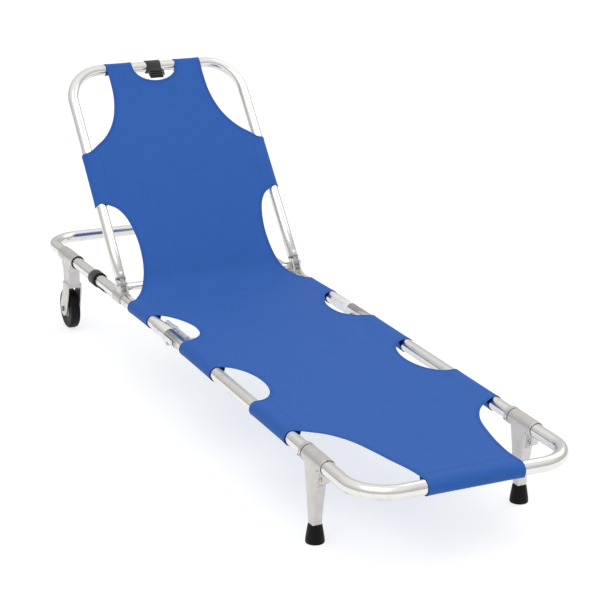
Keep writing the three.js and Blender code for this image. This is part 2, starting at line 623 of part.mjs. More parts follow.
for (const { label, x } of SIDES) {
  const upright = new THREE.Group();
  upright.position.set(x, LEG_Y, 0);
  upright.rotation.x = -CAMBER;
  footHalf.add(upright);
  addPiece(upright, `leg_${label}`, legCasting(), castAlloy);
  addPiece(upright, `rubber_foot_${label}`, rubberFoot(), blackRubber, 0, 0, -legDrop);
  addPiece(footHalf, `leg_collar_${label}`, collar(), castAlloy, x,
    LEG_Y + LEG_CLAMP_HEAD + COLLAR_SPACE);
}

// ---- Cover --------------------------------------------------------------------------------

/** Points of a scallop in an edge at x = edge: half an ellipse that bites `depth` inwards. */
function scallop(edge, centre, halfLength, depth, from = 1, to = -1, steps = 10) {
  const points = [];
  for (let i = 0; i <= steps; i += 1) {
    const t = from + (to - from) * i / steps;
    points.push([edge - depth * Math.sqrt(Math.max(0, 1 - t * t)), centre + halfLength * t]);
  }
  return points;
}

/** Points of a corner cut-out, from (edge, start) round to (edge - depth, start + run). */
function cornerCut(edge, start, run, depth, power, steps = 8) {
  const points = [];
  for (let i = 0; i <= steps; i += 1) {
    const a = Math.PI / 2 * i / steps;
    points.push([
      edge - depth * Math.sin(a) ** (2 / power),
      start + run * (1 - Math.cos(a) ** (2 / power)),
    ]);
  }
  return points;
}

/** A symmetric panel from the right half of its outline. */
const symmetric = (half) => polygon([...half, ...half.slice().reverse().map(([x, y]) => [-x, y])]);

const COVER_EDGE = RAIL_X;
const MID_CUT = { centre: 2, half: 110, depth: 60 };
const HOLD_CUT = { centre: -389, half: 107, depth: 62 };
const FOOT_CUT = { start: -680, run: -320, depth: 131 };
const SEAT_END = 290;
const HIP = { start: 245, depth: 54 };
const SHOULDER = { start: 366, run: 200, depth: 108 };
const NECK = { half: 62, depth: 48 };

const midSplit = (0.5 - MID_CUT.centre) / MID_CUT.half;
const seatHalf = [
  ...scallop(COVER_EDGE, MID_CUT.centre, MID_CUT.half, MID_CUT.depth, midSplit, 1, 6),
  [COVER_EDGE, HIP.start],
  [COVER_EDGE - 10, HIP.start + 14], [COVER_EDGE - 34, HIP.start + 34], [COVER_EDGE - HIP.depth, SEAT_END],
];
addPiece(headHalf, 'cover_seat',
  sheetZ(symmetric(seatHalf), TUBE_R + GAP, TUBE_R + GAP + CLOTH), blueCloth);

const footPanelHalf = [
  ...scallop(COVER_EDGE, MID_CUT.centre, MID_CUT.half, MID_CUT.depth, midSplit - 1 / MID_CUT.half, -1, 7),
  ...scallop(COVER_EDGE, HOLD_CUT.centre, HOLD_CUT.half, HOLD_CUT.depth),
  ...cornerCut(COVER_EDGE, FOOT_CUT.start, FOOT_CUT.run, FOOT_CUT.depth, 1.75),
];
addPiece(footHalf, 'cover_foot',
  sheetZ(symmetric(footPanelHalf), TUBE_R + GAP, TUBE_R + GAP + CLOTH), blueCloth);

const backHalf = [
  [COVER_EDGE - 53, 30], [COVER_EDGE - 58, 85], [COVER_EDGE - 54, 145], [COVER_EDGE - 40, 186],
  [COVER_EDGE - 20, 207], [COVER_EDGE, 219],
  ...cornerCut(COVER_EDGE, SHOULDER.start, SHOULDER.run, SHOULDER.depth, 1.6),
  [COVER_EDGE - SHOULDER.depth, BACK_LENGTH],
  ...scallop(0, BACK_LENGTH, NECK.depth, -NECK.half, 0, -1, 12).slice(0, -1),
];
addPiece(backrest, 'cover_backrest',
  sheetZ(symmetric(backHalf), BACK_TUBE_R + GAP, BACK_TUBE_R + GAP + CLOTH), blueCloth);

// ---- Straps -------------------------------------------------------------------------------

const RAIL_STRAP_START = 500;
const RAIL_STRAP_WIDTH = 40;
const railStrap = cut(
  join(rodY(TUBE_R + GAP + STRAP_T, 0, RAIL_STRAP_WIDTH),
    block(-7, 7, -66, 10, -TUBE_R - GAP - 3, -TUBE_R - GAP - 0.2)),
  rodY(TUBE_R + GAP, -100, 100));
addPiece(headHalf, 'rail_strap', railStrap, blackNylon, -RAIL_X, RAIL_STRAP_START);

const STORAGE_STRAP_HALF = 19.5;
const strapOut = BACK_TUBE_R + GAP + 3;
const storageStrap = cut(
  join(rodX(strapOut, -STORAGE_STRAP_HALF, STORAGE_STRAP_HALF, 0, 0, 28),
    block(-STORAGE_STRAP_HALF, STORAGE_STRAP_HALF, -43, -4, strapOut - 4, strapOut - 0.2)),
  rodX(BACK_TUBE_R + GAP, -60, 60, 0, 0, 28));
addPiece(backrest, 'storage_strap', storageStrap, blackNylon, 0, BACK_LENGTH);
addPiece(backrest, 'storage_buckle',
  cut(block(-22, 22, -38, -21, strapOut, strapOut + 4), block(-18.5, 18.5, -34.5, -31, 0, 40),
    block(-18.5, 18.5, -28, -25, 0, 40)), blackNylon, 0, BACK_LENGTH);

export default stretcher;
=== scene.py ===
import json
import math

import bmesh
import bpy
from mathutils import Matrix, Vector


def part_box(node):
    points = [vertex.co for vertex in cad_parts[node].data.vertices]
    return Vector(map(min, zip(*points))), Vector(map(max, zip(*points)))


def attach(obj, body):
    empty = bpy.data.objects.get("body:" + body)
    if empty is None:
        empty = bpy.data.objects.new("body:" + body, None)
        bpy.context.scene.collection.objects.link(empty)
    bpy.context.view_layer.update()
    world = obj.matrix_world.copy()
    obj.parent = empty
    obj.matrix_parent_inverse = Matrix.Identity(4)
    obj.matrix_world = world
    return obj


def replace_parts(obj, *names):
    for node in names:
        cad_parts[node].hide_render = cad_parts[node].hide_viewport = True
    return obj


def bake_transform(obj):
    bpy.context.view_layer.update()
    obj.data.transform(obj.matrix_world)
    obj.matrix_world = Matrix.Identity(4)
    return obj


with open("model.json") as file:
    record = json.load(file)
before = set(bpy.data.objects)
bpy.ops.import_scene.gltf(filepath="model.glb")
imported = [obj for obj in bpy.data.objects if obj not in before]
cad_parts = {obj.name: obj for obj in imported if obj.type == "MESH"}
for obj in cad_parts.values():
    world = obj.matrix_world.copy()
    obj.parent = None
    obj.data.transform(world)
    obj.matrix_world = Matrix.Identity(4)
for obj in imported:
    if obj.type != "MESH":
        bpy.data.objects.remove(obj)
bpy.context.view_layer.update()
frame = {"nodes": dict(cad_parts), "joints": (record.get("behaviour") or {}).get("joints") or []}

MM = 0.001

# ---- Where things are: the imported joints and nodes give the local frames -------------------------

JOINTS = {j["name"]: j for j in frame["joints"]}
FOLD = Vector(JOINTS["fold"]["pos_m"]) * 1000
RECLINE = Vector(JOINTS["backrest_recline"]["pos_m"]) * 1000
FOLD_DROP = 21.0                      # the fold pivot is this far below the rail axis
CAMBER = math.radians(1.6)
BACK_ANGLE = math.radians(-JOINTS["backrest_recline"]["range_deg"][0])
FOLD_Y = FOLD.y
RAIL_Z = FOLD.z + FOLD_DROP

SCALE = Matrix.Scale(MM, 4)
UNSCALE = Matrix.Scale(1 / MM, 4)
HEAD = SCALE @ Matrix.Translation((0, FOLD_Y, RAIL_Z))
FOOT = (SCALE @ Matrix.Translation(FOLD) @ Matrix.Rotation(CAMBER, 4, "X")
        @ Matrix.Translation((0, 0, FOLD_DROP)))
BACK = SCALE @ Matrix.Translation(RECLINE) @ Matrix.Rotation(BACK_ANGLE, 4, "X")

TUBE_R, TUBE_WALL = 15.5, 2.0
RAIL_X = (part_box("head_frame_tube")[1].x / MM) - TUBE_R
HEAD_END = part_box("head_frame_tube")[1].y / MM - FOLD_Y - TUBE_R
FOOT_END = 1000.0
BEND_R = 84.0
BACK_R, BACK_WALL = 13.7, 1.8
BACK_END, BACK_START, BACK_BEND_R = 611.0, 16.0, 92.0
HINGE_Y = RECLINE.y - FOLD_Y
HINGE_Z = RECLINE.z - RAIL_Z
WHEEL_Y = JOINTS["wheel_left_spin"]["pos_m"][1] / MM - FOLD_Y
AXLE_Z = JOINTS["wheel_left_spin"]["pos_m"][2] / MM - RAIL_Z
SIDES = (("left", -1), ("right", 1))

# ---- Camera -------------------------------------------------------------------------------------

AZIMUTH, ELEVATION = math.radians(-25.17), math.radians(17.05)
CAMERA_AT = (-1.679, -3.783, 1.3234)  # metres from the fold line on the rail axis
SENSOR_WIDTH, LENS = 36, 108.08
back = Vector((math.sin(AZIMUTH) * math.cos(ELEVATION),
               -math.cos(AZIMUTH) * math.cos(ELEVATION), math.sin(ELEVATION)))
camera = bpy.data.objects.new("camera", bpy.data.cameras.new("camera"))
camera.location = (CAMERA_AT[0], CAMERA_AT[1] + FOLD_Y * MM, CAMERA_AT[2] + RAIL_Z * MM)
camera.rotation_mode = "QUATERNION"
camera.rotation_quaternion = back.to_track_quat("Z", "Y")
camera.data.sensor_width = SENSOR_WIDTH
camera.data.lens = LENS
camera.data.clip_end = 60
bpy.context.scene.collection.objects.link(camera)
bpy.context.scene.camera = camera

# ---- Materials ----------------------------------------------------------------------------------


class Look:
    """A procedural material built around one Principled shader."""

    def __init__(self, name, metallic=0.0, **shader):
        self.material = bpy.data.materials.new(name)
        self.material.use_nodes = True
        self.tree = self.material.node_tree
        self.shader = self.tree.nodes["Principled BSDF"]
        self.shader.inputs["Metallic"].default_value = metallic
        for key, value in shader.items():
            self.shader.inputs[key.replace("_", " ")].default_value = value

    def node(self, kind, settings=None, **inputs):
        n = self.tree.nodes.new("ShaderNode" + kind)
        for key, value in (settings or {}).items():
            setattr(n, key, value)
        for key, value in inputs.items():
            self.put(n.inputs[int(key[1:])] if key[0] == "i" and key[1:].isdigit()
                     else n.inputs[key.replace("_", " ")], value)
        return n

    def put(self, socket, value):
        if isinstance(value, bpy.types.NodeSocket):
            self.tree.links.new(value, socket)
        else:
            socket.default_value = value

    def place(self, source, scale, rotation=(0, 0, 0)):
        coords = self.node("TexCoord").outputs[source]
        return self.node("Mapping", Vector=coords, Scale=scale, Rotation=rotation).outputs[0]

    def noise(self, where, scale, detail=4.0, roughness=0.55):
        return self.node("TexNoise", Vector=where, Scale=scale, Detail=detail,
                         Roughness=roughness).outputs["Fac"]

    def ramp(self, value, low, high, to_low=0.0, to_high=1.0):
        return self.node("MapRange", {"clamp": True}, Value=value, From_Min=low, From_Max=high,
                         To_Min=to_low, To_Max=to_high).outputs[0]

    def maths(self, operation, a, b=0.0):
        return self.node("Math", {"operation": operation}, i0=a, i1=b).outputs[0]

    def mix(self, factor, a, b):
        n = self.node("Mix", {"data_type": "RGBA"})
        self.put(n.inputs[0], factor)
        self.put(n.inputs[6], a)
        self.put(n.inputs[7], b)
        return n.outputs[2]

    def bump(self, height, distance, strength=1.0, after=None):
        n = self.node("Bump", Height=height, Distance=distance, Strength=strength)
        if after is not None:
            self.put(n.inputs["Normal"], after)
        return n.outputs[0]

    def finish(self, colour=None, roughness=None, normal=None):
        for key, value in (("Base Color", colour), ("Roughness", roughness), ("Normal", normal)):
            if value is not None:
                self.put(self.shader.inputs[key], value)
        return self.material


def rgb(r, g, b):
    """A linear colour from 0-255 display values."""
    return tuple(((c / 255 + 0.055) / 1.055) ** 2.4 if c > 10 else c / 255 / 12.92
                 for c in (r, g, b)) + (1.0,)


def drawn_tube():
    """Bright drawn aluminium: fine scratches along the tube and a few handling scuffs."""
    look = Look("aluminium_drawn", metallic=1.0)
    along = look.place("UV", (520, 9, 1))
    scratch = look.noise(along, 1.0, 5)
    scuff = look.noise(look.place("Object", (1, 1, 1)), 26, 5, 0.65)
    scuffed = look.ramp(scuff, 0.56, 0.72)
    tone = look.mix(scratch, (0.72, 0.705, 0.68, 1), (0.86, 0.845, 0.82, 1))
    tone = look.mix(scuffed, tone, (0.66, 0.65, 0.635, 1))
    rough = look.maths("ADD", look.ramp(scratch, 0.3, 0.7, 0.19, 0.27),
                       look.maths("MULTIPLY", scuffed, 0.10))
    return look.finish(tone, rough, look.bump(scratch, 0.00003, 0.5))


def cast_alloy():
    """Die-cast aluminium: a fine grain, softly mottled, slightly polished on the high spots."""
    look = Look("aluminium_cast", metallic=1.0)
    here = look.place("Object", (1, 1, 1))
    grain = look.noise(here, 1500, 3)
    cloud = look.noise(here, 38, 4, 0.6)
    tone = look.mix(cloud, (0.54, 0.52, 0.50, 1), (0.70, 0.68, 0.655, 1))
    rough = look.ramp(cloud, 0.3, 0.7, 0.48, 0.36)
    waves = look.bump(look.noise(here, 120, 2), 0.0004, 0.35)
    return look.finish(tone, rough, look.bump(grain, 0.00008, 0.5, waves))


def zinc_plate():
    """Zinc plated pressed steel, with a faint blue passivation tint."""
    look = Look("zinc_plate", metallic=1.0)
    here = look.place("Object", (1, 1, 1))
    cloud = look.noise(here, 70, 5, 0.6)
    tone = look.mix(look.ramp(cloud, 0.35, 0.65), (0.72, 0.75, 0.80, 1), (0.88, 0.88, 0.87, 1))
    grain = look.noise(here, 2400, 2)
    edge = look.node("Bevel", {"samples": 4}, Radius=0.0006).outputs[0]
    return look.finish(tone, look.ramp(cloud, 0.3, 0.7, 0.40, 0.52), look.bump(grain, 0.00004, 0.5, edge))


def dark_steel():
    """Blackened steel with bright rubbed spots."""
    look = Look("dark_steel", metallic=1.0)
    here = look.place("Object", (1, 1, 1))
    rub = look.ramp(look.noise(here, 160, 5, 0.7), 0.50, 0.68)
    tone = look.mix(rub, (0.16, 0.17, 0.19, 1), (0.42, 0.43, 0.45, 1))
    edge = look.node("Bevel", {"samples": 4}, Radius=0.0005).outputs[0]
    return look.finish(tone, look.ramp(rub, 0, 1, 0.36, 0.26),
                       look.bump(look.noise(here, 2100, 2), 0.00004, 0.5, edge))


def moulded(name, low, high, rough=(0.38, 0.5)):
    """Moulded plastic with a fine spark-eroded texture."""
    look = Look(name)
    here = look.place("Object", (1, 1, 1))
    cloud = look.noise(here, 45, 4)
    fine = look.noise(here, 1900, 3)
    return look.finish(look.mix(cloud, low, high), look.ramp(cloud, 0.3, 0.7, *rough),
                       look.bump(fine, 0.00006, 0.6))


def rubber(name, dusty):
    """Black rubber with a matte grain and a little pale dust."""
    look = Look(name, Specular_IOR_Level=0.15)
    here = look.place("Object", (1, 1, 1))
    dust = look.ramp(look.noise(here, 60, 6, 0.7), 0.50, 0.78, 0.0, dusty)
    tone = look.mix(dust, (0.004, 0.004, 0.0042, 1), (0.04, 0.039, 0.037, 1))
    return look.finish(tone, look.ramp(look.noise(here, 300, 3), 0.3, 0.7, 0.42, 0.6),
                       look.bump(look.noise(here, 1300, 3), 0.0001, 0.6))


def weave(look, pitch, depth):
    """The height of a plain weave in UV metres: warp and weft threads that pass over each other."""
    uv = look.node("TexCoord").outputs["UV"]
    cells = look.node("VectorMath", {"operation": "SCALE"}, i0=uv, Scale=math.pi / pitch).outputs[0]
    axes = look.node("SeparateXYZ", Vector=cells)
    across = look.maths("SINE", axes.outputs[0])
    down = look.maths("SINE", axes.outputs[1])
    threads = look.maths("MULTIPLY", across, down)
    ridge = look.maths("ADD", look.maths("ABSOLUTE", across), look.maths("ABSOLUTE", down))
    return look.maths("ADD", look.maths("MULTIPLY", threads, depth), look.maths("MULTIPLY", ridge, 0.5))


def oxford(name, dark, light, pitch=0.0011):
    """Coated oxford cloth: a plain weave, slubs along the threads, painted shade between the threads, and a faint
    sheen.
    """
    look = Look(name, Sheen_Weight=0.02, Sheen_Roughness=0.45, Specular_IOR_Level=0.16)
    height = weave(look, pitch, 0.8)
    slub_warp = look.noise(look.place("UV", (900, 16, 1)), 1.0, 3)
    slub_weft = look.noise(look.place("UV", (16, 900, 1)), 1.0, 3)
    slub = look.maths("MULTIPLY", look.maths("ADD", slub_warp, slub_weft), 0.5)
    cloud = look.noise(look.place("Object", (1, 1, 1)), 7, 5, 0.6)
    tone = look.mix(look.ramp(slub, 0.34, 0.66), dark, light)
    tone = look.mix(look.ramp(cloud, 0.3, 0.75, 0.0, 0.16), tone, light)
    # Painted shade: the low points of the weave are darkened towards a deeper blue, as if in the shade between
    # the threads.
    tone = look.mix(look.ramp(height, -0.5, 1.4, 0.18, 0.0), tone, tuple(c * 0.7 for c in dark[:3]) + (1,))
    surface = look.bump(slub, 0.0002, 0.35)
    return look.finish(tone, look.ramp(slub, 0.3, 0.7, 0.60, 0.72), look.bump(height, 0.00022, 0.55, surface))


def webbing(name, rib=0.0016):
    """Black nylon webbing: ribs across the strap, painted shade in the grooves between the ribs with lighter
    crests, and paler fuzz in random specks.
    """
    look = Look(name, Sheen_Weight=0.25, Sheen_Roughness=0.4)
    uv = look.node("TexCoord").outputs["UV"]
    axes = look.node("SeparateXYZ", Vector=uv)
    ribs = look.maths("SINE", look.maths("MULTIPLY", axes.outputs[1], 2 * math.pi / rib))
    cross = look.maths("SINE", look.maths("MULTIPLY", axes.outputs[0], 2 * math.pi / (rib * 1.5)))
    height = look.maths("ADD", ribs, look.maths("MULTIPLY", cross, 0.35))
    fuzz = look.noise(look.place("Object", (1, 1, 1)), 900, 3)
    # Painted shade: the strap is darkest in the grooves between the ribs and lightest on their crests, following
    # the rib height.
    tone = look.mix(look.ramp(height, -1, 1.3, 0, 0.8), (0.006, 0.006, 0.007, 1), (0.030, 0.030, 0.033, 1))
    tone = look.mix(look.ramp(fuzz, 0.62, 0.8, 0, 0.5), tone, (0.08, 0.08, 0.085, 1))
    return look.finish(tone, look.ramp(height, -1, 1, 0.7, 0.48), look.bump(height, 0.0003, 0.8))


TUBE = drawn_tube()
CAST = cast_alloy()
ZINC = zinc_plate()
DARK = dark_steel()
GREY_NYLON = moulded("grey_nylon", (0.30, 0.31, 0.32, 1), (0.40, 0.41, 0.42, 1))
HUB_GREY = moulded("hub_grey", (0.46, 0.47, 0.48, 1), (0.60, 0.61, 0.62, 1), (0.3, 0.42))
BLACK_NYLON = moulded("black_nylon", (0.012, 0.012, 0.013, 1), (0.028, 0.028, 0.03, 1), (0.22, 0.34))
TYRE = rubber("tyre_rubber", 0.12)
FOOT_RUBBER = rubber("foot_rubber", 0.08)
CLOTH = oxford("blue_oxford", rgb(37, 84, 158), rgb(47, 96, 176))
HEM = oxford("blue_hem", rgb(35, 80, 153), rgb(44, 91, 170))
THREAD = oxford("blue_thread", rgb(34, 76, 150), rgb(42, 88, 166), 0.0004)
WEBBING = webbing("black_webbing")

# ---- Mesh tools (millimetres in a local frame) --------------------------------------------------


def piece(name, verts, faces, matrix, material, body=None, slot=None, uvs=None, crease=38, merge=0.0):
    """A mesh object from local millimetres, smooth except along edges sharper than `crease` degrees."""
    mesh = bpy.data.meshes.new(name)
    mesh.from_pydata([tuple(v) for v in verts], [], faces)
    if uvs is not None:
        layer = mesh.uv_layers.new(name="UVMap")
        for loop in mesh.loops:
            layer.data[loop.index].uv = uvs[loop.vertex_index]
    bm = bmesh.new()
    bm.from_mesh(mesh)
    if merge:
        bmesh.ops.remove_doubles(bm, verts=bm.verts, dist=merge)
    bmesh.ops.recalc_face_normals(bm, faces=bm.faces)
    bm.to_mesh(mesh)
    bm.free()
    mesh.transform(matrix)
    for polygon in mesh.polygons:
        polygon.use_smooth = True
    mesh.set_sharp_from_angle(angle=math.radians(crease))
    mesh.materials.append(material)
    obj = bpy.data.objects.new(name, mesh)
    bpy.context.scene.collection.objects.link(obj)
    if body:
        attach(obj, body)
    return obj


def loft(rings, closed=True, cap=False, loop=False):
    """Faces over equal rings of points. `closed` joins a ring's ends, and `loop` the last ring to the first."""
    n = len(rings[0])
    verts = [p for ring in rings for p in ring]
    faces = []
    for i in range(len(rings) if loop else len(rings) - 1):
        a, b = i * n, ((i + 1) % len(rings)) * n
        for k in range(n if closed else n - 1):
            m = (k + 1) % n
            faces.append((a + k, a + m, b + m, b + k))
    if cap:
        faces.append(tuple(reversed(range(n))))
        faces.append(tuple(range(len(verts) - n, len(verts))))
    return verts, faces


def joined(parts):
    """Several (verts, faces) as one."""
    verts, faces = [], []
    for v, f in parts:
        base = len(verts)
        verts += list(v)
        faces += [tuple(base + i for i in face) for face in f]
    return verts, faces


def moved(part, matrix):
    return [matrix @ Vector(v) for v in part[0]], part[1]


def turned(profile, axis="X", segments=72):
    """A turned solid about an axis from (radius, along) pairs; an end with radius 0 closes to a point."""
    rings = []
    for r, along in profile:
        ring = []
        for k in range(segments):
            a = 2 * math.pi * k / segments
            c, s = max(r, 0.001) * math.cos(a), max(r, 0.001) * math.sin(a)
            ring.append({"X": (along, c, s), "Y": (c, along, s), "Z": (c, s, along)}[axis])
        rings.append(ring)
    return loft(rings)


def rounded(profile, radius, steps=3):
    """A closed or open (radius, along) profile with its corners rounded."""
    out = []
    closed = profile[0] == profile[-1]
    points = profile[:-1] if closed else profile
    n = len(points)
    for i, p in enumerate(points):
        if not closed and i in (0, n - 1):
            out.append(p)
            continue
        p, a, b = Vector(p), Vector(points[i - 1]), Vector(points[(i + 1) % n])
        da, db = a - p, b - p
        t = min(radius, da.length * 0.45, db.length * 0.45)
        start, end = p + da.normalized() * t, p + db.normalized() * t
        for k in range(steps + 1):
            u = k / steps
            q = start * (1 - u) ** 2 + p * 2 * u * (1 - u) + end * u ** 2
            out.append((q.x, q.y))
    if closed:
        out.append(out[0])
    return out


def box_part(x0, x1, y0, y1, z0, z1, bevel=0.5, segments=2):
    """A box with rounded edges, as (verts, faces)."""
    bm = bmesh.new()
    bmesh.ops.create_cube(bm, size=1.0)
    for v in bm.verts:
        v.co = Vector((x0 + (v.co.x + 0.5) * (x1 - x0), y0 + (v.co.y + 0.5) * (y1 - y0),
                       z0 + (v.co.z + 0.5) * (z1 - z0)))
    bmesh.ops.bevel(bm, geom=bm.edges[:], offset=bevel, segments=segments, profile=0.5, affect="EDGES")
    bm.verts.ensure_lookup_table()
    part = [v.co.copy() for v in bm.verts], [tuple(v.index for v in f.verts) for f in bm.faces]
    bm.free()
    return part


def smoothed_copy(node, name, material, body, voxel, rounds):
    """A softened high-resolution copy of a CAD casting: its sharp joins become cast fillets."""
    source = frame["nodes"][node]
    obj = bpy.data.objects.new(name, source.data.copy())
    bpy.context.scene.collection.objects.link(obj)
    remesh = obj.modifiers.new("remesh", "REMESH")
    remesh.mode = "VOXEL"
    remesh.voxel_size = 1.0 * voxel * MM
    smooth = obj.modifiers.new("smooth", "SMOOTH")
    smooth.factor = 0.5
    smooth.iterations = rounds
    evaluated = obj.evaluated_get(bpy.context.evaluated_depsgraph_get())
    mesh = bpy.data.meshes.new_from_object(evaluated)
    obj.modifiers.clear()
    obj.data = mesh
    mesh.materials.clear()
    mesh.materials.append(material)
    for polygon in mesh.polygons:
        polygon.use_smooth = True
    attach(obj, body)
    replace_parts(obj, node)
    return obj


# ---- Frame tubes --------------------------------------------------------------------------------


def u_path(half_width, start, end, bend_r, steps=28):
    """(point, tangent) along a U: up one rail, round two corners and back."""
    way = math.copysign(1, end - start)
    bend = end - way * bend_r
    straight = half_width - bend_r
    left = [(Vector((-half_width, start + (bend - start) * k / 6, 0)), Vector((0, way, 0))) for k in range(6)]
    for k in range(steps + 1):
        a = math.pi / 2 * k / steps
        left.append((Vector((-straight - bend_r * math.cos(a), bend + way * bend_r * math.sin(a), 0)),
                     Vector((math.sin(a), way * math.cos(a), 0))))
    right = [(Vector((-p.x, p.y, 0)), Vector((t.x, -t.y, 0))) for p, t in reversed(left)]
    return left + right


def straight_path(x0, x1, y, z):
    return [(Vector((x0 + (x1 - x0) * k / 4, y, z)), Vector((1, 0, 0))) for k in range(5)]


def tube_piece(name, path, r, wall, matrix, body, node, sides=64):
    """A round tube along a path with open ends: softened lips and a length of inner wall."""
    stations = [(p, t, r) for p, t in path]
    first, last = path[0], path[-1]
    lip, inner_wall = 0.4, 40

    def ends(p, t, sign):
        return [(p + t * sign * inner_wall, t, r - wall), (p + t * sign * lip, t, r - wall),
                (p, t, r - wall + lip), (p, t, r - lip), (p + t * sign * lip, t, r)]

    stations = ends(first[0], first[1], 1) + stations[1:-1] + list(reversed(ends(last[0], last[1], -1)))
    rings, uvs, length = [], [], 0.0
    for i, (p, t, radius) in enumerate(stations):
        across = Vector((t.y, -t.x, 0))
        length += (p - stations[i - 1][0]).length if i else 0
        ring = []
        for k in range(sides):
            a = 2 * math.pi * k / sides
            ring.append(p + Vector((0, 0, 1)) * radius * math.cos(a) + across * radius * math.sin(a))
            uvs.append((abs(2 * k / sides - 1) * math.pi * r * MM, length * MM))
        rings.append(ring)
    verts, faces = loft(rings)
    obj = piece(name, verts, faces, matrix, TUBE, body, "aluminium_tube", uvs, crease=50)
    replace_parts(obj, node)
    return obj


tube_piece("head_rail", u_path(RAIL_X, 0.5, HEAD_END, BEND_R), TUBE_R, TUBE_WALL, HEAD,
           "head_frame", "head_frame_tube")
tube_piece("foot_rail", u_path(RAIL_X, -0.5, -FOOT_END, BEND_R), TUBE_R, TUBE_WALL, FOOT,
           "foot_frame", "foot_frame_tube")
tube_piece("backrest_frame", u_path(RAIL_X, BACK_START, BACK_END, BACK_BEND_R), BACK_R, BACK_WALL,
           BACK, "backrest", "backrest_tube")
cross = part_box("cross_tube")
cross_r = (cross[1].z - cross[0].z) / 2 / MM
cross_z = (cross[1].z + cross[0].z) / 2 / MM - RAIL_Z
tube_piece("cross_bar", straight_path(cross[0].x / MM, cross[1].x / MM, HINGE_Y, cross_z), cross_r, 1.5,
           HEAD, "head_frame", "cross_tube", 48)

# ---- Cover --------------------------------------------------------------------------------------

CLOTH_T = 0.9
BED_H = TUBE_R + 0.75                 # middle of the cloth above the rail axis
BACK_H = BACK_R + 0.75
BLEND_T = 50.0                        # tangent length of the curve between bed and backrest
crease_s = (BED_H - HINGE_Z - BACK_H * math.cos(BACK_ANGLE)) / math.sin(BACK_ANGLE)
CREASE_Y = HINGE_Y + crease_s * math.cos(BACK_ANGLE) - BACK_H * math.sin(BACK_ANGLE)
CURVE_R = BLEND_T / math.tan(BACK_ANGLE / 2)
CURVE_START = CREASE_Y - BLEND_T
CURVE_LEN = CURVE_R * BACK_ANGLE
CURVE_END = CURVE_START + CURVE_LEN
S_START = crease_s + BLEND_T          # distance up the backrest where the curve ends
W_TOP = CURVE_END + BACK_END - S_START


def w_of(s):
    """Length along the cover for a distance s up the backrest."""
    return CURVE_END + s - S_START


def ripple(x, w):
    """Small slack waves in the cloth: across the crease, beside the sleeves and over the panel."""
    wave = 0.35 * math.sin(x / 61 + w / 83) + 0.25 * math.sin(x / 37 - w / 119 + 1.3)
    fold = 1.3 * math.exp(-((w - CURVE_START - 34) / 46) ** 2) * math.sin(x / 21.0 + 0.02 * w) \
        * (abs(x) / RAIL_X) ** 2
    return wave + fold


def sag(x, w):
    """How far the cloth hangs below the line between the rails."""
    share = min(1.0, abs(x) / RAIL_X)
    ends = min(1.0, (w + FOOT_END) / 120, (W_TOP - w) / 120)
    depth = 6.0 if w < CURVE_START else 5.0
    return depth * (1 - share ** 2.2) * max(0.0, ends)


def drift(x, w):
    """The backrest part of the cover sits a little off centre, most of all over the hips."""
    rise = min(1.0, max(0.0, (w - CURVE_START + 60) / 90))
    fall = min(1.0, max(0.0, (w_of(BACK_END) - w) / 360))
    return 4.5 * rise * fall * (1 - (min(abs(x), RAIL_X) / RAIL_X) ** 4)


def surface(x, w):
    """(point, normal) on the cover in row millimetres."""
    if w < 0:
        point = Matrix.Rotation(CAMBER, 4, "X") @ Vector((0, w, BED_H + FOLD_DROP)) + FOLD
        angle = CAMBER
    elif w <= CURVE_START:
        point, angle = Vector((0, FOLD_Y + w, RAIL_Z + BED_H)), 0.0
    elif w < CURVE_END:
        angle = (w - CURVE_START) / CURVE_R
        point = Vector((0, FOLD_Y + CURVE_START + CURVE_R * math.sin(angle),
                        RAIL_Z + BED_H + CURVE_R * (1 - math.cos(angle))))
    else:
        angle = BACK_ANGLE
        s = S_START + w - CURVE_END
        point = RECLINE + Matrix.Rotation(angle, 4, "X") @ Vector((0, s, BACK_H))
    normal = Vector((0, -math.sin(angle), math.cos(angle)))
    fade = min(1.0, max(0.0, (RAIL_X - abs(x)) / 60))
    point = point + normal * (ripple(x, w) * fade - sag(x, w))
    return Vector((x + drift(x, w), point.y, point.z)), normal


def bite(start, end, depth, power=1.0, steps=26):
    """Rows [w, half width] of a cut-out in the side of the cover, from one end to the other."""
    rows = []
    for k in range(steps + 1):
        a = math.pi * k / steps
        rows.append((start + (end - start) * (1 - math.cos(a)) / 2, RAIL_X - depth * math.sin(a) ** power))
    return rows


def smooth_rows(points, steps=5):
    """Rows through the given (w, half width) points on a smooth curve."""
    rows = []
    n = len(points)
    for i in range(n - 1):
        p0, p1, p2, p3 = (Vector(points[max(0, min(n - 1, j))]) for j in (i - 1, i, i + 1, i + 2))
        for k in range(steps):
            t = k / steps
            q = 0.5 * (2 * p1 + (p2 - p0) * t + (2 * p0 - 5 * p1 + 4 * p2 - p3) * t * t
                       + (3 * p1 - p0 - 3 * p2 + p3) * t ** 3)
            rows.append((q.x, q.y))
    rows.append(tuple(points[-1]))
    return rows


def span(start, end, step=14.0):
    """Straight rows along a sleeve, both ends included."""
    n = max(2, round(abs(end - start) / step))
    return [(start + (end - start) * k / n, RAIL_X) for k in range(n + 1)]


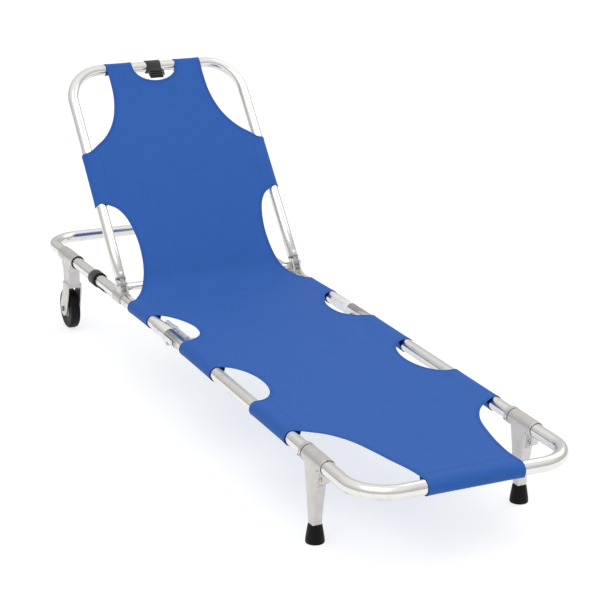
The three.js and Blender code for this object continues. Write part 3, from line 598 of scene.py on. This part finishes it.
FOOT_HALF = 108.0                     # half width of the cover where it wraps the foot-end tube
FOOT_CUT = [(-FOOT_END, FOOT_HALF), (-950, 110), (-905, 117), (-845, 129), (-789, 143), (-755, 157),
            (-722, 179), (-697, 209), (-683, 231), (-680, RAIL_X)]
MID_CUT = [(-101, RAIL_X), (-98, 234), (-94, 227), (-88, 215), (-74, 198.5), (-55, 186), (-32, 180), (-2, 178.5),
           (26, 182.5), (56, 191.5), (83, 204), (99, 216), (108, 227.5), (113, RAIL_X)]
HIP_CUT = [(245, RAIL_X), (252, 233), (266, 223), (284, 210), (305, 198), (w_of(2), 187), (w_of(28), 180),
           (w_of(62), 175.5), (w_of(104), 175), (w_of(145), 180.5), (w_of(177), 190), (w_of(200), 205),
           (w_of(212), 223), (w_of(219), RAIL_X)]
SHOULDER_CUT = [(w_of(366), RAIL_X), (w_of(373), 228), (w_of(385), 213), (w_of(406), 187), (w_of(438), 162),
                (w_of(475), 145), (w_of(522), 134), (w_of(575), 131.5), (W_TOP, 133)]
NECK_HALF, NECK_DEPTH = 61.0, 49.0
SLEEVES_LOWER = [(-680, -503), (-283, -101), (113, 245)]
SLEEVE_UPPER = (w_of(219), w_of(366))
SEAM_IN = 27.0                        # the sleeve stitching is this far inside the rail axis
WRAP_IN = 20.5                        # and the wrapped cloth meets the panel this far inside it

THIGH_CUT = (SLEEVES_LOWER[0][1], SLEEVES_LOWER[1][0], 63, 0.95)   # start, end, depth and shape of a bite

lower_rows = (smooth_rows(FOOT_CUT)[:-1] + span(*SLEEVES_LOWER[0])[:-1] + bite(*THIGH_CUT)[:-1]
              + span(*SLEEVES_LOWER[1])[:-1] + smooth_rows(MID_CUT)[:-1] + span(*SLEEVES_LOWER[2]))
upper_rows = smooth_rows(HIP_CUT)[:-1] + span(*SLEEVE_UPPER)[:-1] + smooth_rows(SHOULDER_CUT, 6)
full_rows = [r for r in upper_rows if r[0] < w_of(BACK_END - NECK_DEPTH) - 4]      # below the neck cut-out


def sleeve_section(r, inward, steps=20):
    """(out, up) points round a tube from its top, by the outside, to the seam under the panel."""
    seam = Vector((-inward, r - 2.2))
    reach = math.acos(r / seam.length)
    leave = math.atan2(seam.y, seam.x) + reach - 2 * math.pi
    points = []
    for k in range(steps + 1):
        a = math.pi / 2 + (leave - math.pi / 2) * k / steps
        swell = 0.9 * math.sin(math.pi * k / steps) ** 2
        points.append(((r + swell) * math.cos(a), (r + swell) * math.sin(a)))
    last = Vector(points[-1])
    for k in range(1, 6):
        q = last.lerp(seam, k / 5)
        points.append((q.x, q.y - 0.8 * math.sin(math.pi * k / 5)))
    return points


def sleeve(stations, section, place):
    """A sleeve over a tube: `place(station, out, up)` gives a row point; ends flare very slightly."""
    rings = []
    first, last = stations[0], stations[-1]
    for station in stations:
        near = min(abs(station - first), abs(station - last))
        flare = 1 + 0.035 * math.exp(-near / 9.0)
        rings.append([place(station, out * (1 if i == 0 else flare), up * (1 if i == 0 else flare))
                      for i, (out, up) in enumerate(section)])
    return loft(rings, closed=False)


COLUMNS = 26                          # faces across the cover, closer together towards its edges
SHARES = [0.6 * math.sin(math.pi / 2 * (2 * k / COLUMNS - 1)) + 0.4 * (2 * k / COLUMNS - 1)
          for k in range(COLUMNS + 1)]


def panel(rows):
    """The flat part of the cover over the given rows, as (verts, faces, uvs)."""
    rings, uvs = [], []
    for w, half in rows:
        rings.append([surface(half * s, w)[0] for s in SHARES])
        uvs += [(half * s * MM, w * MM) for s in SHARES]
    verts, faces = loft(rings, closed=False)
    return verts, faces, uvs


def finished_cloth(name, parts, uvs, nodes):
    """Joins the sheets of a cover piece and gives them thickness."""
    verts, faces = joined(parts)
    obj = piece(name, verts, faces, SCALE, CLOTH, uvs=uvs, crease=70, merge=0.05)
    solid = obj.modifiers.new("thickness", "SOLIDIFY")
    solid.thickness = CLOTH_T * MM
    solid.offset = 0
    solid.use_even_offset = False
    mesh = bpy.data.meshes.new_from_object(obj.evaluated_get(bpy.context.evaluated_depsgraph_get()))
    obj.modifiers.clear()
    obj.data = mesh
    for polygon in mesh.polygons:
        polygon.use_smooth = True
    mesh.set_sharp_from_angle(angle=math.radians(60))
    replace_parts(obj, *nodes)
    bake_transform(obj)
    return obj


def along(line, step):
    """Points every `step` along a polyline, with their directions."""
    out, carried = [], 0.0
    for a, b in zip(line, line[1:]):
        length = (b - a).length
        if length < 1e-9:
            continue
        t = carried
        while t < length:
            out.append((a.lerp(b, t / length), (b - a).normalized()))
            t += step
        carried = t - length
    return out


def stitches(lines, lift=0.5, length=2.6, pitch=4.0, width=0.5):
    """Thread dashes on the cover along lines of (x, w) points."""
    parts = []
    for line in lines:
        for p, d in along([Vector(q) for q in line], pitch):
            ends = []
            for sign in (-0.5, 0.5):
                q = p + d * sign * length
                ends.append(surface(q.x, q.y))
            (a, na), (b, _) = ends
            side = (b - a).cross(na).normalized() * width / 2
            up = na * lift
            ring = [a + up - side, a + up + na * 0.3, a + up + side, a + up - na * 0.2]
            ring2 = [b + up - side, b + up + na * 0.3, b + up + side, b + up - na * 0.2]
            parts.append(loft([ring, ring2], cap=True))
    return joined(parts)


def offset_line(line, distance):
    """An (x, w) line moved sideways, to the left of its direction."""
    out = []
    n = len(line)
    for i, p in enumerate(line):
        a, b = Vector(line[max(0, i - 1)]), Vector(line[min(n - 1, i + 1)])
        d = (b - a).normalized()
        out.append((p[0] - d.y * distance, p[1] + d.x * distance))
    return out


def hem(lines, width=9.0):
    """A folded hem along cut edges: a raised band on each face with a rolled outer edge."""
    profile = [(width, 0.35), (width - 2.5, 0.75), (1.2, 0.85), (0.0, 0.7), (-0.6, 0.0), (0.0, -0.7),
               (1.2, -0.85), (width - 2.5, -0.75), (width, -0.35)]
    parts, uvs = [], []
    for line in lines:
        rings = []
        sides = {inset: offset_line(line, inset) for inset, _ in profile}
        run = 0.0
        for i in range(len(line)):
            ring = []
            run += (Vector(line[i]) - Vector(line[i - 1])).length if i else 0
            for inset, lift in profile:
                x, w = sides[inset][i]
                point, normal = surface(x, w)
                ring.append(point + normal * lift)
                uvs.append((inset * MM, run * MM))
            rings.append(ring)
        parts.append(loft(rings, closed=True))
    return *joined(parts), uvs


def edge(rows, sign):
    """A cut edge of the cover as (x, w) points, with the cloth to its left."""
    line = [(sign * half, w) for w, half in rows]
    return line if sign > 0 else list(reversed(line))


LOWER_CUTS = [smooth_rows(FOOT_CUT), bite(*THIGH_CUT, 40), smooth_rows(MID_CUT)]
UPPER_CUTS = [smooth_rows(HIP_CUT), smooth_rows(SHOULDER_CUT, 6)]


def rail_place(sign, matrix):
    """Puts a rail sleeve's section at a station along a rail, in row millimetres."""
    to_row = UNSCALE @ matrix

    def place(y, out, up):
        return to_row @ Vector((sign * (RAIL_X + out), y, up))
    return place


bed_section = sleeve_section(BED_H, WRAP_IN)
back_section = sleeve_section(BACK_H, WRAP_IN)


def sleeve_uvs(stations, section):
    lengths = [0.0]
    for a, b in zip(section, section[1:]):
        lengths.append(lengths[-1] + (Vector(b) - Vector(a)).length)
    return [((RAIL_X + l) * MM, station * MM) for station in stations for l in lengths]


def build_lower():
    verts, faces, uvs = panel(lower_rows)
    parts = [(verts, faces)]
    for (start, end), matrix in zip(SLEEVES_LOWER, (FOOT, FOOT, HEAD)):
        stations = [w for w, _ in span(start, end)]
        for _, sign in SIDES:
            parts.append(sleeve(stations, bed_section, rail_place(sign, matrix)))
            uvs += sleeve_uvs(stations, bed_section)
    to_row = UNSCALE @ FOOT
    xs = [FOOT_HALF * s for s in SHARES]
    parts.append(sleeve(xs, bed_section, lambda x, out, up: to_row @ Vector((x, -FOOT_END - out, up))))
    uvs += sleeve_uvs(xs, bed_section)
    return parts, uvs


def build_upper():
    verts, faces, uvs = panel(full_rows)
    parts = [(verts, faces)]
    stations = [w for w, _ in span(*SLEEVE_UPPER)]
    to_row = UNSCALE @ BACK
    for _, sign in SIDES:
        def place(w, out, up, sign=sign):
            return to_row @ Vector((sign * (RAIL_X + out), w - CURVE_END + S_START, up))
        parts.append(sleeve(stations, back_section, place))
        uvs += sleeve_uvs(stations, back_section)
    return parts, uvs


def neck_edge(t):
    """A point of the neck cut-out, from its top right end (t = 0) round to its top left end (t = 1)."""
    a = math.pi * t
    return (NECK_HALF * math.cos(a), W_TOP - NECK_DEPTH * math.sin(a) ** 0.9)


def build_shoulders(last_row, rows):
    """The part of the backrest cover beside and under the neck cut-out, joined to the last full row."""
    w0, half0 = last_row
    side_rows = [r for r in rows if r[0] > w0]
    parts, uvs, rings = [], [], []
    steps, side_steps = 14, 6
    for i in range(steps + 1):
        ring = []
        for share in SHARES:
            q = Vector((half0 * share, w0)).lerp(Vector(neck_edge((1 - share) / 2)), i / steps)
            ring.append(surface(q.x, q.y)[0])
            uvs.append((q.x * MM, q.y * MM))
        rings.append(ring)
    parts.append(loft(rings, closed=False))
    for sign in (-1, 1):
        side = [(half0 * sign, w0)] + [(half * sign, w) for w, half in side_rows]
        n = len(side) - 1
        rings = []
        for i, (x, w) in enumerate(side):
            u = i / n
            inner = Vector((half0 * sign, w0)).lerp(Vector((NECK_HALF * sign, W_TOP)), u)
            ring = []
            for k in range(side_steps + 1):
                q = inner.lerp(Vector((x, w)), k / side_steps)
                ring.append(surface(q.x, q.y)[0])
                uvs.append((q.x * MM, q.y * MM))
            rings.append(ring)
        parts.append(loft(rings, closed=False))
        to_row = UNSCALE @ BACK
        xs = [sign * (NECK_HALF + (side[-1][0] * sign - NECK_HALF) * k / side_steps)
              for k in range(side_steps + 1)]
        parts.append(sleeve(xs, back_section, lambda x, out, up: to_row @ Vector((x, BACK_END + out, up))))
        uvs += sleeve_uvs(xs, back_section)
    return parts, uvs


bend_from, bend_to = surface(0, CURVE_START + 10)[0] * MM, surface(0, CURVE_END + 8)[0] * MM

parts, uvs = build_lower()
cover_lower = finished_cloth("cover_lower", parts, uvs, ["cover_seat", "cover_foot"])
parts, uvs = build_upper()
more, more_uvs = build_shoulders(full_rows[-1], upper_rows)
cover_upper = finished_cloth("cover_upper", parts + more, uvs + more_uvs, ["cover_backrest"])


def trim(name, part, material, uvs=None):
    """Hems and stitching, laid on the cover they are sewn on."""
    obj = piece(name, part[0], part[1], SCALE, material, uvs=uvs, crease=60)
    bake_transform(obj)
    return obj


neck_line = [neck_edge(k / 48) for k in range(49)]
lower_edges = [edge(rows, sign) for rows in LOWER_CUTS for _, sign in SIDES]
upper_edges = [edge(rows, sign) for rows in UPPER_CUTS for _, sign in SIDES] + [neck_line]
verts, faces, uvs = hem(lower_edges)
hem_lower = trim("hem_lower", (verts, faces), HEM, uvs)
verts, faces, uvs = hem(upper_edges)
hem_upper = trim("hem_upper", (verts, faces), HEM, uvs)


def sleeve_seams(sleeves):
    """The stitching lines along the inner side of both rails' sleeves."""
    x = RAIL_X - SEAM_IN
    return [[(sign * x, a + 5), (sign * x, b - 5)] for a, b in sleeves for _, sign in SIDES]


def stitching(edges, seams):
    """Stitches along the hems of the given edges and along the given seams."""
    return joined([stitches([offset_line(e, 5.5) for e in edges], 0.8), stitches(seams)])


foot_seam = [(-FOOT_HALF + 6, -FOOT_END + SEAM_IN), (FOOT_HALF - 6, -FOOT_END + SEAM_IN)]
stitch_lower = trim("stitching_lower", stitching(lower_edges, sleeve_seams(SLEEVES_LOWER) + [foot_seam]),
                    THREAD)
stitch_upper = trim("stitching_upper", stitching(upper_edges, sleeve_seams([SLEEVE_UPPER])), THREAD)

# ---- Castings -----------------------------------------------------------------------------------

CAST_VOXEL, CAST_ROUNDS = 0.9, 8      # voxel in mm, and passes of smoothing
for side, _ in SIDES:
    for node, name, body in (("wheel_bracket", "wheel_fork", "head_frame"), ("leg", "leg_casting", "foot_frame")):
        smoothed_copy(f"{node}_{side}", f"{name}_{side}", CAST, body, CAST_VOXEL, CAST_ROUNDS)

# ---- Wheels and feet ----------------------------------------------------------------------------

WHEEL_R, WHEEL_HALF, HUB_R = 55.0, 14.0, 24.0


def tyre_profile():
    h = WHEEL_HALF
    tread = [(WHEEL_R - 0.5, -h + 5), (WHEEL_R, -h + 9), (WHEEL_R, h - 9), (WHEEL_R - 0.5, h - 5)]
    return [(HUB_R, -h + 3)] + [(HUB_R + 2, -h + 2.2), (WHEEL_R - 8, -h + 0.6), (WHEEL_R - 4, -h + 1.4),
                                (WHEEL_R - 1.8, -h + 3)] + tread + \
           [(WHEEL_R - 1.8, h - 3), (WHEEL_R - 4, h - 1.4), (WHEEL_R - 8, h - 0.6), (HUB_R + 2, h - 2.2),
            (HUB_R, h - 3), (HUB_R, -h + 3)]


def hub_profile():
    h, rim = WHEEL_HALF - 3, HUB_R - 0.3
    half = [(6.2, 2), (11.3, 2), (11.3, h + 1), (14.5, h + 1), (16.5, h - 2.5), (rim - 3, h - 2.5),
            (rim - 1.5, h), (rim, h)]
    return [(r, -x) for r, x in half] + list(reversed(half)) + [(6.2, -2)]


def hub_ribs():
    """Raised ribs on both faces of the hub, between its boss and its rim."""
    h = WHEEL_HALF - 3
    parts = []
    for k in range(10):
        turn = Matrix.Rotation(math.pi / 5 * k, 4, "X")
        for side_x in (-1, 1):
            x0, x1 = sorted((side_x * (h - 3), side_x * (h - 0.6)))
            parts.append(moved(box_part(x0, x1, -1.1, 1.1, 15.5, HUB_R - 2, 0.5), turn))
    return joined(parts)


def bearing_profile(x0, x1):
    return [(4.3, x0), (7.2, x0), (7.4, x0 + 0.5), (9.1, x0 + 0.5), (9.3, x0), (11, x0), (11, x1), (9.3, x1),
            (9.1, x1 - 0.5), (7.4, x1 - 0.5), (7.2, x1), (4.3, x1), (4.3, x0)]


BEARINGS = (("outer", 2.3, 9.6), ("inner", -9.6, -2.3))
for side, sign in SIDES:
    at = HEAD @ Matrix.Translation((sign * RAIL_X, WHEEL_Y, AXLE_Z))
    wheel = f"wheel_{side}"
    verts, faces = turned(rounded(tyre_profile(), 0.9), segments=96)
    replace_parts(piece(f"tyre_band_{side}", verts, faces, at, TYRE, wheel, "tyre_rubber"), f"tyre_{side}")
    verts, faces = joined([turned(rounded(hub_profile(), 0.7), segments=96), hub_ribs()])
    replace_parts(piece(f"hub_{side}", verts, faces, at, HUB_GREY, wheel, "grey_plastic"), f"wheel_hub_{side}")
    for end, x0, x1 in BEARINGS:
        x0, x1 = (x0, x1) if sign > 0 else (-x1, -x0)
        verts, faces = turned(rounded(bearing_profile(x0, x1), 0.3))
        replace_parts(piece(f"bearing_{side}_{end}", verts, faces, at, ZINC, wheel, "zinc_steel"),
                    f"wheel_bearing_{side}_{end}")

for side, sign in SIDES:
    low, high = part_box(f"rubber_foot_{side}")
    at = SCALE @ Matrix.Translation((sign * RAIL_X, (low.y + high.y) / 2 / MM, 0))
    top = high.z / MM
    profile = [(0, 0), (15.8, 0), (16.4, 0.8), (17.2, 0.8), (17.8, 0), (19.2, 0.25), (19.9, 1.6), (20, 3.5),
               (19.4, 11), (17.4, 24), (15.6, 35), (15.1, top - 1.4), (14.5, top), (11.3, top), (11.3, 9),
               (0, 9)]
    verts, faces = turned(rounded(profile, 0.8), "Z", 88)
    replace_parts(piece(f"foot_cap_{side}", verts, faces, at, FOOT_RUBBER, "foot_frame", "foot_rubber"),
                f"rubber_foot_{side}")

# ---- CAD pieces that keep their shape -----------------------------------------------------------

KEPT = {ZINC: ("fold_bracket_head", "fold_bracket_foot", "fold_pin", "latch_stud", "latch_lever",
               "backrest_rivet", "backrest_bolt"),
        CAST: ("backrest_hinge", "leg_collar"),
        DARK: ("latch_spring", "axle"),
        GREY_NYLON: ("backrest_end_plug",)}
kept = [(material, f"{stem}_{side}") for material, stems in KEPT.items() for stem in stems for side, _ in SIDES]
kept += [(ZINC, f"friction_washer_{side}_{end}") for side, _ in SIDES for end in ("outer", "inner")]
for material, name in kept:
    node = frame["nodes"][name]
    node.data.materials.clear()
    node.data.materials.append(material)


# ---- Straps and rivets --------------------------------------------------------------------------


def wound_strap(r, thickness, turns, half_width, steps=56):
    """A strap wound round a tube along Y, as (verts, faces, uvs); the outer end lies on the last turn."""
    rings, uvs = [], []
    total = round(turns * steps)
    soft = thickness * 0.3
    for k in range(total + 1):
        a = 2 * math.pi * k / steps
        inner = r + thickness * 1.04 * k / steps
        outer = inner + thickness
        edge_wave = 0.5 * math.sin(a * 1.7) + 0.3 * math.sin(a * 3.1 + 1)
        section = [(inner, -half_width), (inner, half_width), (inner + soft, half_width + soft),
                   (outer - soft, half_width + soft), (outer, half_width), (outer, half_width / 3),
                   (outer, -half_width / 3), (outer, -half_width), (outer - soft, -half_width - soft),
                   (inner + soft, -half_width - soft)]
        rings.append([(radius * math.sin(a), y + edge_wave, radius * math.cos(a)) for radius, y in section])
        uvs += [(y * MM, inner * a * MM) for _, y in section]
    verts, faces = loft(rings, cap=True)
    return verts, faces, uvs


def flat_strap(line, half_width, thickness):
    """A strap along a line of (point, across, normal), as (verts, faces, uvs)."""
    rings, uvs, run = [], [], 0.0
    soft = thickness * 0.3
    for i, (p, across, normal) in enumerate(line):
        run += (p - line[i - 1][0]).length if i else 0.0
        ring = []
        for u, v in ((-1, soft), (-1, thickness - soft), (-0.96, thickness), (-0.33, thickness),
                     (0.33, thickness), (0.96, thickness), (1, thickness - soft), (1, soft), (0.96, 0),
                     (-0.96, 0)):
            ring.append(p + across * (u * half_width) + normal * v)
            uvs.append((u * half_width * MM, run * MM))
        rings.append(ring)
    verts, faces = loft(rings, cap=True)
    return verts, faces, uvs


def strap_piece(name, parts, matrix, body, node):
    verts, faces = joined([(v, f) for v, f, _ in parts])
    uvs = [uv for _, _, part_uvs in parts for uv in part_uvs]
    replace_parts(piece(name, verts, faces, matrix, WEBBING, body, "black_webbing", uvs, crease=50), node)


STRAP_GAP, STRAP_T = 0.35, 1.3
low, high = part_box("rail_strap")
strap_y = high.y / MM - FOLD_Y - 20
tail = []
for k in range(15):
    u = k / 14
    y = strap_y + 12 - u * (high.y - low.y - 0.010) / MM
    z = -TUBE_R - 1.9 - 1.5 * math.exp(-((u - 0.1) / 0.16) ** 2)
    tail.append((Vector((0.8 * math.sin(3.5 * u), y, z)), Vector((1, 0, 0)), Vector((0, 0, 1))))
at_rail = HEAD @ Matrix.Translation((-RAIL_X, 0, 0)) @ Matrix.Rotation(math.radians(38), 4, "Y")
verts, faces, uvs = wound_strap(TUBE_R + STRAP_GAP, STRAP_T, 2.75, 19)
verts, faces = moved((verts, faces), Matrix.Translation((0, strap_y, 0)))
strap_piece("wound_strap", [(verts, faces, uvs), flat_strap(tail, 7, 1.4)], at_rail, "head_frame", "rail_strap")

low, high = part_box("storage_strap")
half = high.x / MM
turn = Matrix.Rotation(math.pi / 2, 4, "Z")
verts, faces, uvs = wound_strap(BACK_R + STRAP_GAP, STRAP_T, 1.9, half - 0.6)
verts, faces = moved((verts, faces), turn)
hang = []
for k in range(13):
    u = k / 12
    hang.append((Vector((0, -2 - 41 * u, BACK_R + 0.6 + 1.3 * (1 - u) ** 2)),
                 Vector((1, 0, 0)), Vector((0, 0, 1))))
at_top = BACK @ Matrix.Translation((0, BACK_END, 0))
strap_piece("top_strap", [(verts, faces, uvs), flat_strap(hang, half - 0.8, 1.5)],
            at_top, "backrest", "storage_strap")

z0 = BACK_R + 3.5                     # the underside of the buckle, above the tube's axis
frame_bars = ((-22, 22, -38, -34.8), (-22, 22, -24.8, -21), (-22, -18.2, -38, -21), (18.2, 22, -38, -21))
bars = [box_part(*bar, z0, z0 + 3.6, 1.1, 3) for bar in frame_bars]
bars.insert(2, box_part(-18.6, 18.6, -31, -28.2, z0 + 0.2, z0 + 3.0, 1.0, 3))
verts, faces = joined(bars)
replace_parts(piece("top_buckle", verts, faces, at_top, BLACK_NYLON, "backrest", "black_webbing"),
            "storage_buckle")


def rivet(radius, height):
    """A domed rivet head that stands on z = 0."""
    return turned([(radius, 0), (radius, height * 0.35), (radius * 0.8, height * 0.8), (radius * 0.4, height),
                   (0, height)], "Z", 28)


def bolt(r, height):
    """A socket screw that stands on z = 0: a round head with a socket recess; a black hexagon of painted shade is
    set into the recess separately.
    """
    return turned([(r, 0), (r, height - 0.5), (r - 0.5, height), (r * 0.72, height), (r * 0.72, height - 1.6),
                   (0, height - 1.6)], "Z", 36)


# (along the rail, up, out from the rail, radius of the head)
LEG_BOLTS = ((-834, -27, 8.4, 4.0), (-753.5, -4, 18.9, 3.8), (-838, -6, 18.4, 2.8))
for side, sign in SIDES:
    parts, socket_shades = [], []
    for y, z, out, r in LEG_BOLTS:
        for way in (-1, 1):
            spot = (Matrix.Translation((sign * RAIL_X + way * out, y, z))
                    @ Matrix.Rotation(way * math.pi / 2, 4, "Y"))
            parts.append(moved(bolt(r, 2.0), spot))
            # Painted shade: a black hexagon sits in each head's recess in place of the dark inside of the socket
            # hole.
            socket_shades.append(moved(turned([(r * 0.7, 0.2), (r * 0.7, 1.5), (0, 1.5)], "Z", 6), spot))
    piece(f"leg_bolts_{side}", *joined(parts), FOOT, ZINC, "foot_frame", "zinc_steel")
    piece(f"leg_bolt_sockets_{side}", *joined(socket_shades), FOOT, BLACK_NYLON, "foot_frame", "dark_steel", crease=20)

# for each bracket, (along the rail, degrees above level) of its rivets
RIVETS = {"head_frame": (HEAD, ((16, -24), (40, -2), (64, -24))),
          "foot_frame": (FOOT, ((-12, -2), (-29, -24), (-45, -2)))}
for side, sign in SIDES:
    for body, (matrix, spots) in RIVETS.items():
        parts = []
        for y, angle in spots:
            a = math.radians(angle)
            out = Vector((sign * math.cos(a), 0, math.sin(a)))
            spot = Matrix.Translation(Vector((sign * RAIL_X, y, 0)) + out * (TUBE_R + 2.2))
            parts.append(moved(rivet(3.1, 1.6), spot @ out.to_track_quat("Z", "Y").to_matrix().to_4x4()))
        verts, faces = joined(parts)
        piece(f"bracket_rivets_{body}_{side}", verts, faces, matrix, ZINC, body, "zinc_steel")

# ---- Studio -------------------------------------------------------------------------------------


FLOOR_HALF, FLOOR_GLOW = 14, 0.70
SKY_STOPS = ((0.0, 0.85), (0.02, 0.42), (0.16, 0.52), (0.30, 0.85), (0.42, 0.66), (0.62, 1.0), (1.0, 1.06))
WORLD_STRENGTH = 0.95


def stage_floor():
    mesh = bpy.data.meshes.new("floor")
    h = FLOOR_HALF
    mesh.from_pydata([(-h, -h, 0), (h, -h, 0), (h, h, 0), (-h, h, 0)], [], [(0, 1, 2, 3)])
    look = Look("floor_paper")
    grain = look.noise(look.place("Object", (1, 1, 1)), 6, 3)
    look.put(look.shader.inputs["Emission Color"], (1, 1, 1, 1))
    look.put(look.shader.inputs["Emission Strength"], FLOOR_GLOW)
    mesh.materials.append(look.finish(look.mix(grain, (0.34, 0.34, 0.34, 1), (0.36, 0.36, 0.36, 1)), 0.9))
    floor = bpy.data.objects.new("floor", mesh)
    bpy.context.scene.collection.objects.link(floor)


def area_light(name, size, power, location, target=(0, 0, 0.3)):
    light = bpy.data.lights.new(name, "AREA")
    light.shape = "RECTANGLE"
    light.size, light.size_y = size
    light.energy = power
    obj = bpy.data.objects.new(name, light)
    obj.location = location
    obj.rotation_mode = "QUATERNION"
    obj.rotation_quaternion = (Vector(location) - Vector(target)).to_track_quat("Z", "Y")
    bpy.context.scene.collection.objects.link(obj)


def studio_world():
    world = bpy.data.worlds.new("studio")
    bpy.context.scene.world = world
    world.use_nodes = True
    nodes, links = world.node_tree.nodes, world.node_tree.links
    coords = nodes.new("ShaderNodeTexCoord")
    split = nodes.new("ShaderNodeSeparateXYZ")
    links.new(coords.outputs["Generated"], split.inputs[0])
    ramp = nodes.new("ShaderNodeValToRGB")
    ramp.color_ramp.elements[0].position = SKY_STOPS[0][0]
    ramp.color_ramp.elements[1].position = SKY_STOPS[-1][0]
    for position, _ in SKY_STOPS[1:-1]:
        ramp.color_ramp.elements.new(position)
    for element, (_, value) in zip(ramp.color_ramp.elements, SKY_STOPS):
        element.color = (value, value, value, 1)
    links.new(split.outputs["Z"], ramp.inputs[0])
    links.new(ramp.outputs["Color"], nodes["Background"].inputs["Color"])
    nodes["Background"].inputs["Strength"].default_value = WORLD_STRENGTH


stage_floor()
studio_world()
area_light("key", (3.0, 3.0), 60, (-1.5, -2.0, 4.2))
area_light("fill", (2.5, 2.5), 25, (2.8, 0.5, 3.0))
bpy.context.scene.view_settings.view_transform = "Standard"
